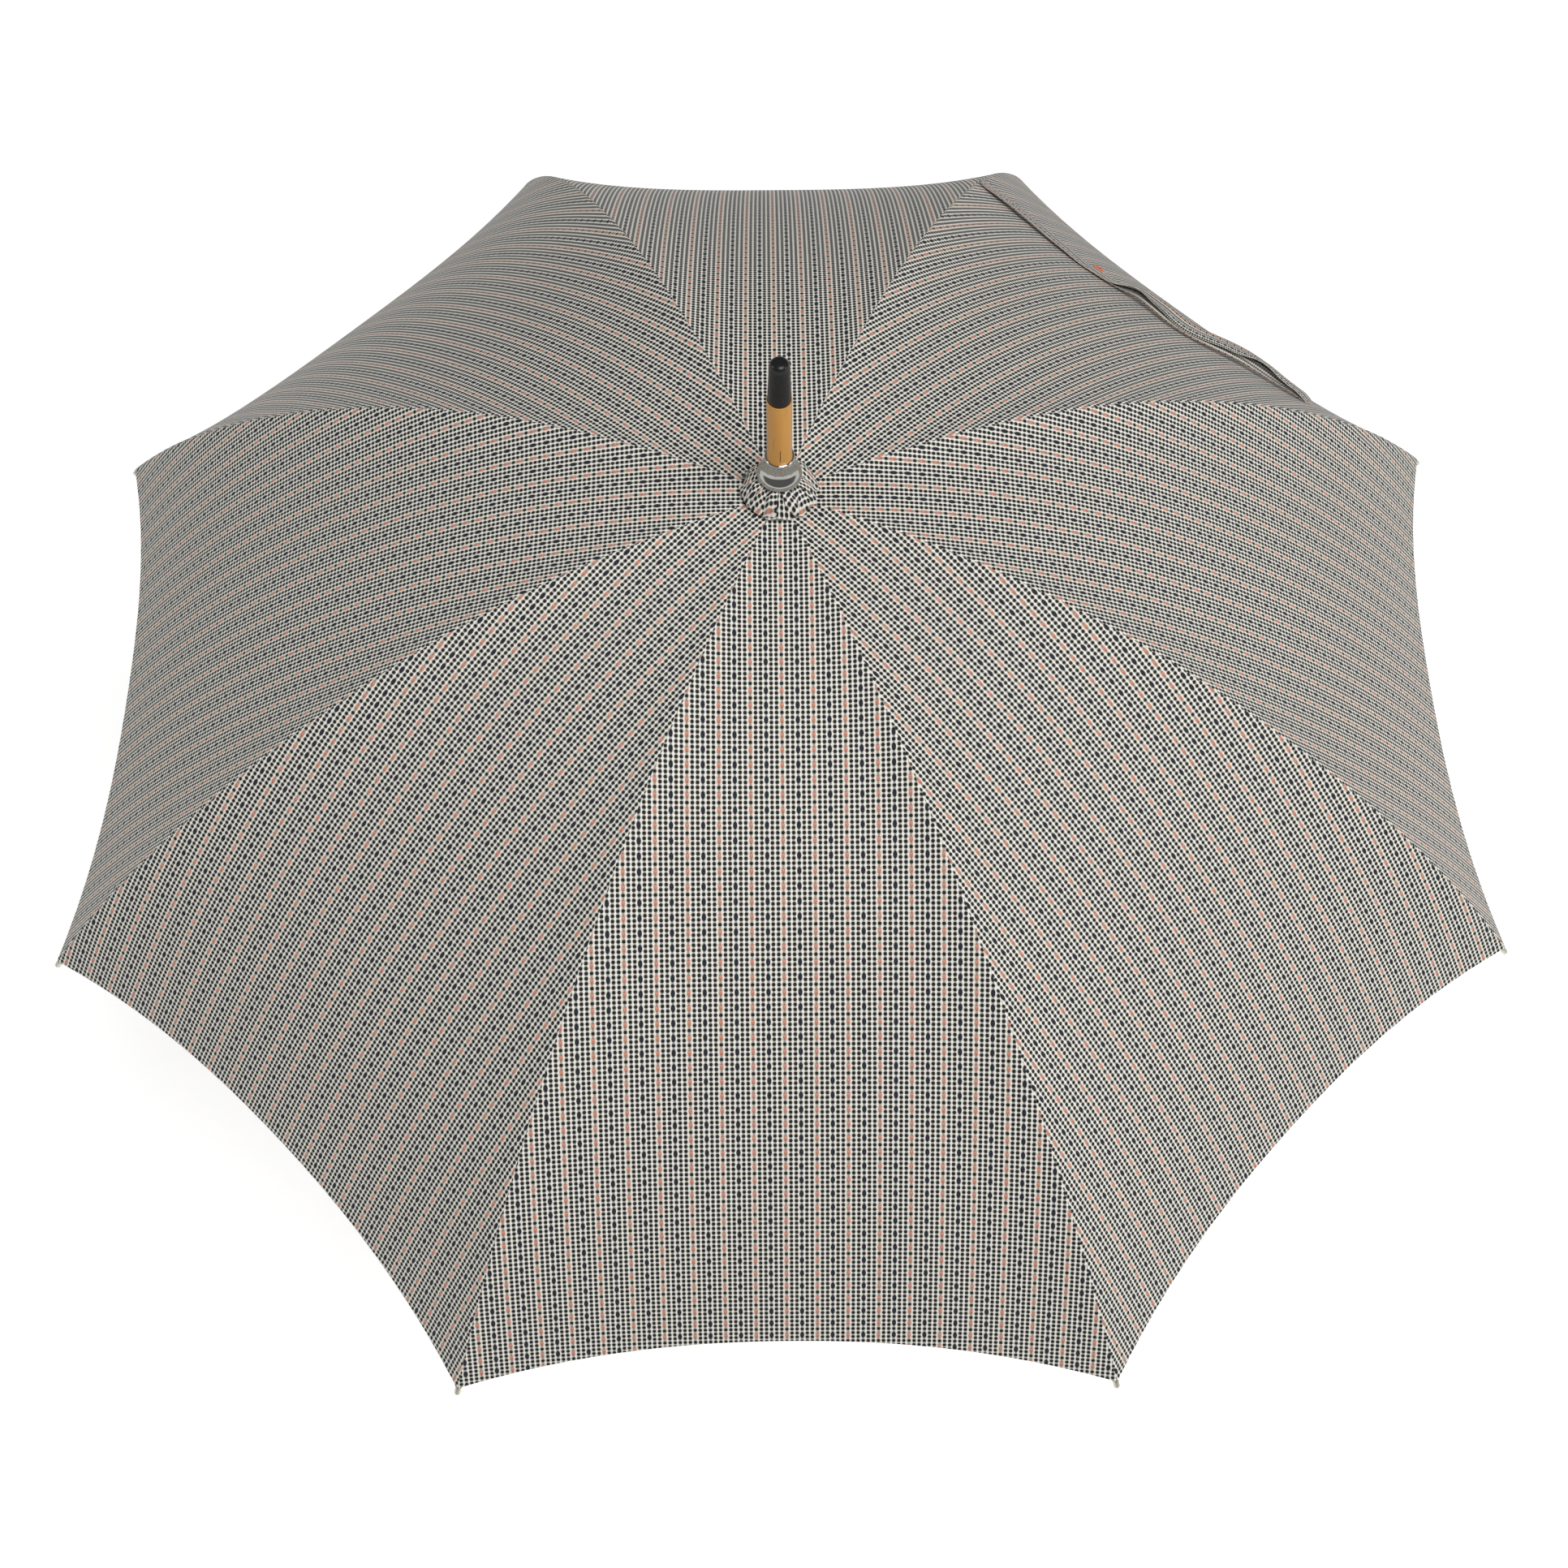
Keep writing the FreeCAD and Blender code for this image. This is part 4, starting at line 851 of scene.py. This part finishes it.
class UMBRELLA_OT_strap(Operator):
    """Model the tie strap over the back right gore, and its button"""
    bl_idname = "umbrella.tie_strap"
    bl_label = "Tie Strap"

    def execute(self, context):
        sizes = context.scene.umbrella_sizes
        dome = Dome(sizes)
        line = flowing(list(STRAP_PATH), 24)

        def on_cloth(s, offset, lift):
            width = dome.width(s)
            if offset >= 0:
                return dome.gore(4, -(1 - offset / width), s, -lift)
            return dome.gore(3, 1 + offset / width, s, -lift)

        middle = [on_cloth(s, offset, 0.0006) for s, offset in line]
        above = [on_cloth(s, offset, 0.0106) for s, offset in line]
        split = min(range(len(line)), key=lambda n: abs(line[n][1]))
        cells = 16
        strap_length = 0.30

        def frame_at(n):
            """The middle line's point n, with the directions across the strap and away from the cloth."""
            run = (middle[min(n + 1, len(line) - 1)] - middle[max(n - 1, 0)]).normalized()
            up = (above[n] - middle[n]).normalized()
            side = run.cross(up).normalized()
            return middle[n], side, side.cross(run).normalized()

        for name, low, high, rib in (("strap_root", 0, split, 4), ("strap_end", split, len(line) - 1, 3)):
            bm = new_cloth()

            def place(column, row):
                n = low + row
                t = n / (len(line) - 1)
                point, side, up = frame_at(n)
                half = sizes.strap_width / 2
                left = (1.0 - t) * strap_length
                if left < half:
                    half *= math.sqrt(max(0.03, 1 - (1 - left / half) ** 2))
                turn = 2 * column / cells
                flat = half * (2 * turn - 3 if turn > 1 else 1 - 2 * turn)
                from_fold = (flat + half) / (2 * half)
                lift = between(STRAP_RISE, t) + (half - flat) * math.sin(math.radians(between(STRAP_TILT, t)))
                lift += 0.0005 * math.sin(flat * 500 + 9 * t) + 0.0003
                if turn > 1:
                    lift += 0.0006 + between(STRAP_GAPE, t) * from_fold ** 1.4
                elif turn == 1:
                    lift += 0.0003
                return point + side * flat + up * max(lift, 0.0004)

            def weave(column, row, centre):
                return column / cells * 2 * sizes.strap_width, (low + row) * 0.0040

            lay_grid(bm, cells, high - low, place, weave)
            area = cut_area(bm)
            piece = finished(bm, name, [finish("cloth"), finish("lining")])
            thicken(piece, 0.0004, 1)
            if sum((face.normal.dot(above[low] - middle[low]) for face in piece.data.polygons[:4])) > 0:
                piece.modifiers["Cloth"].offset = 1
            run_length = sum((middle[n + 1] - middle[n]).length for n in range(low, high))
            widest = max(sum((place(column + 1, row) - place(column, row)).length for column in range(cells))
                         for row in range(high - low + 1))
            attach(piece, f"rib_outer_{rib}")
            rib_sideways(rib)
            rib_hinge(rib, sizes)
            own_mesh(piece)
            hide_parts("tie_strap")

        centre, top = on_cloth(*BUTTON_AT, 0.0010), on_cloth(*BUTTON_AT, 0.0110)
        up = (top - centre).normalized()
        run = (on_cloth(BUTTON_AT[0], BUTTON_AT[1] + 0.010, 0.0010) - centre).normalized()
        axes = Matrix((run, up.cross(run), up))
        bm = lathe([(0.0, -0.3)] + flowing(
            [(3.6, -0.3), (4.3, 0.0), (4.5, 0.7), (4.3, 1.4), (3.7, 1.75), (2.8, 1.7), (2.2, 1.35), (0.0, 1.2)], 5),
            0.0, 48)
        bmesh.ops.transform(bm, matrix=Matrix.Translation(centre) @ axes.transposed().to_4x4(), verts=bm.verts)
        button = finished(bm, "strap_stud", [finish("button")], sharp=math.radians(50))
        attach(button, "rib_outer_4")
        rib_sideways(4)
        rib_hinge(4, sizes)
        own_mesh(button)
        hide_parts("strap_button")
        return {"FINISHED"}


# ---------------------------------------------------------------- frame

class UMBRELLA_OT_frame(Operator):
    """Give the stick, handle, ribs, stretchers, notch, runner and catches their finishes"""
    bl_idname = "umbrella.frame"
    bl_label = "Frame Finishes"

    def execute(self, context):
        chosen = {"shaft": "wood", "handle": "handle", "handle_collar": "nickel", "runner": "nickel",
                  "notch": "nickel"}
        hidden = ("canopy", "tie", "strap", "rib_tip", "crown", "ferrule")
        for name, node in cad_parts.items():
            if name.startswith(hidden):
                continue
            material = finish(chosen.get(name, "steel"))
            for n in range(max(1, len(node.material_slots))):
                if node.material_slots:
                    node.material_slots[n].material = material
                else:
                    node.data.materials.append(material)
        return {"FINISHED"}


# ---------------------------------------------------------------- studio

class UMBRELLA_OT_stage(Operator):
    """Set the floor, the soft light and the camera"""
    bl_idname = "umbrella.stage"
    bl_label = "Stage"

    def execute(self, context):
        scene = context.scene
        colours = scene.umbrella_colours
        low = CAD_BOX[0]
        bm = bmesh.new()
        bmesh.ops.create_grid(bm, x_segments=8, y_segments=8, size=14,
                              matrix=Matrix.Translation((0, 0, low[2] - 0.02)))
        paper = Finish("Studio Floor", Roughness=0.9, Emission_Strength=0.62, Emission_Color=(1, 1, 1))
        grain = paper.noise(paper.place(), 6, 2.0)
        paper.give("Base Color", paper.mixed(grain * 0.03, tuple(colours.floor), (0.8, 0.8, 0.8)))
        finished(bm, "studio_floor", [paper.material])

        world = bpy.data.worlds.new("Studio")
        world.use_nodes = True
        world.node_tree.nodes["Background"].inputs[0].default_value = (1, 1, 1, 1)
        world.node_tree.nodes["Background"].inputs[1].default_value = 0.13
        scene.world = world

        def lamp(name, place, aim, size, power):
            data = bpy.data.lights.new(name, "AREA")
            data.shape, data.size, data.energy = "DISK", size, power
            made = bpy.data.objects.new(name, data)
            made.location = place
            made.rotation_mode = "QUATERNION"
            made.rotation_quaternion = (Vector(aim) - Vector(place)).to_track_quat("-Z", "Y")
            scene.collection.objects.link(made)

        lamp("over_lamp", (0.65, -0.85, 3.1), (0, 0, 0.6), 1.5, 53)
        lamp("right_lamp", (2.3, -0.5, 1.6), (0, 0, 0.65), 0.9, 11)
        lamp("left_lamp", (-2.2, -0.1, 1.9), (0, 0, 0.65), 0.9, 10)

        data = bpy.data.cameras.new("camera")
        data.lens, data.sensor_width, data.sensor_fit = 49.42, 36, "HORIZONTAL"
        data.clip_start, data.clip_end = 0.05, 60
        camera = bpy.data.objects.new("camera", data)
        fall, side = math.radians(62.37), math.radians(0.7)
        look = Vector((math.sin(side) * math.cos(fall), math.cos(side) * math.cos(fall), -math.sin(fall)))
        camera.location = (-0.0065, -0.7956, 1.8157)
        camera.rotation_mode = "QUATERNION"
        camera.rotation_quaternion = (look.to_track_quat("-Z", "Y")
                                      @ Quaternion((0, 0, 1), math.radians(0.12)))
        scene.collection.objects.link(camera)
        scene.camera = camera
        scene.view_settings.view_transform = "Standard"
        return {"FINISHED"}


class UMBRELLA_PT_panel(Panel):
    """Sizes, colours and pieces of the umbrella"""
    bl_idname = "UMBRELLA_PT_panel"
    bl_label = "Stick Umbrella"
    bl_space_type = "VIEW_3D"
    bl_region_type = "UI"
    bl_category = "Umbrella"

    def draw(self, context):
        for group in (context.scene.umbrella_sizes, context.scene.umbrella_colours):
            box = self.layout.box()
            for name in group.__annotations__:
                box.prop(group, name)
        for operator in OPERATORS:
            self.layout.operator(operator.bl_idname)


OPERATORS = (UMBRELLA_OT_stage, UMBRELLA_OT_inner_cloth, UMBRELLA_OT_outer_cloth, UMBRELLA_OT_crown,
             UMBRELLA_OT_rosette, UMBRELLA_OT_tips, UMBRELLA_OT_strap, UMBRELLA_OT_frame)
CLASSES = (UmbrellaSizes, UmbrellaColours) + OPERATORS + (UMBRELLA_PT_panel,)


def register():
    for item in CLASSES:
        bpy.utils.register_class(item)
    bpy.types.Scene.umbrella_sizes = PointerProperty(type=UmbrellaSizes)
    bpy.types.Scene.umbrella_colours = PointerProperty(type=UmbrellaColours)


def unregister():
    del bpy.types.Scene.umbrella_colours
    del bpy.types.Scene.umbrella_sizes
    for item in reversed(CLASSES):
        bpy.utils.unregister_class(item)


def main():
    """Make every piece."""
    register()
    bpy.ops.umbrella.stage()
    bpy.ops.umbrella.inner_cloth()
    bpy.ops.umbrella.outer_cloth()
    bpy.ops.umbrella.crown()
    bpy.ops.umbrella.rosette()
    bpy.ops.umbrella.rib_tips()
    bpy.ops.umbrella.tie_strap()
    bpy.ops.umbrella.frame()


if __name__ == "__main__":
    main()
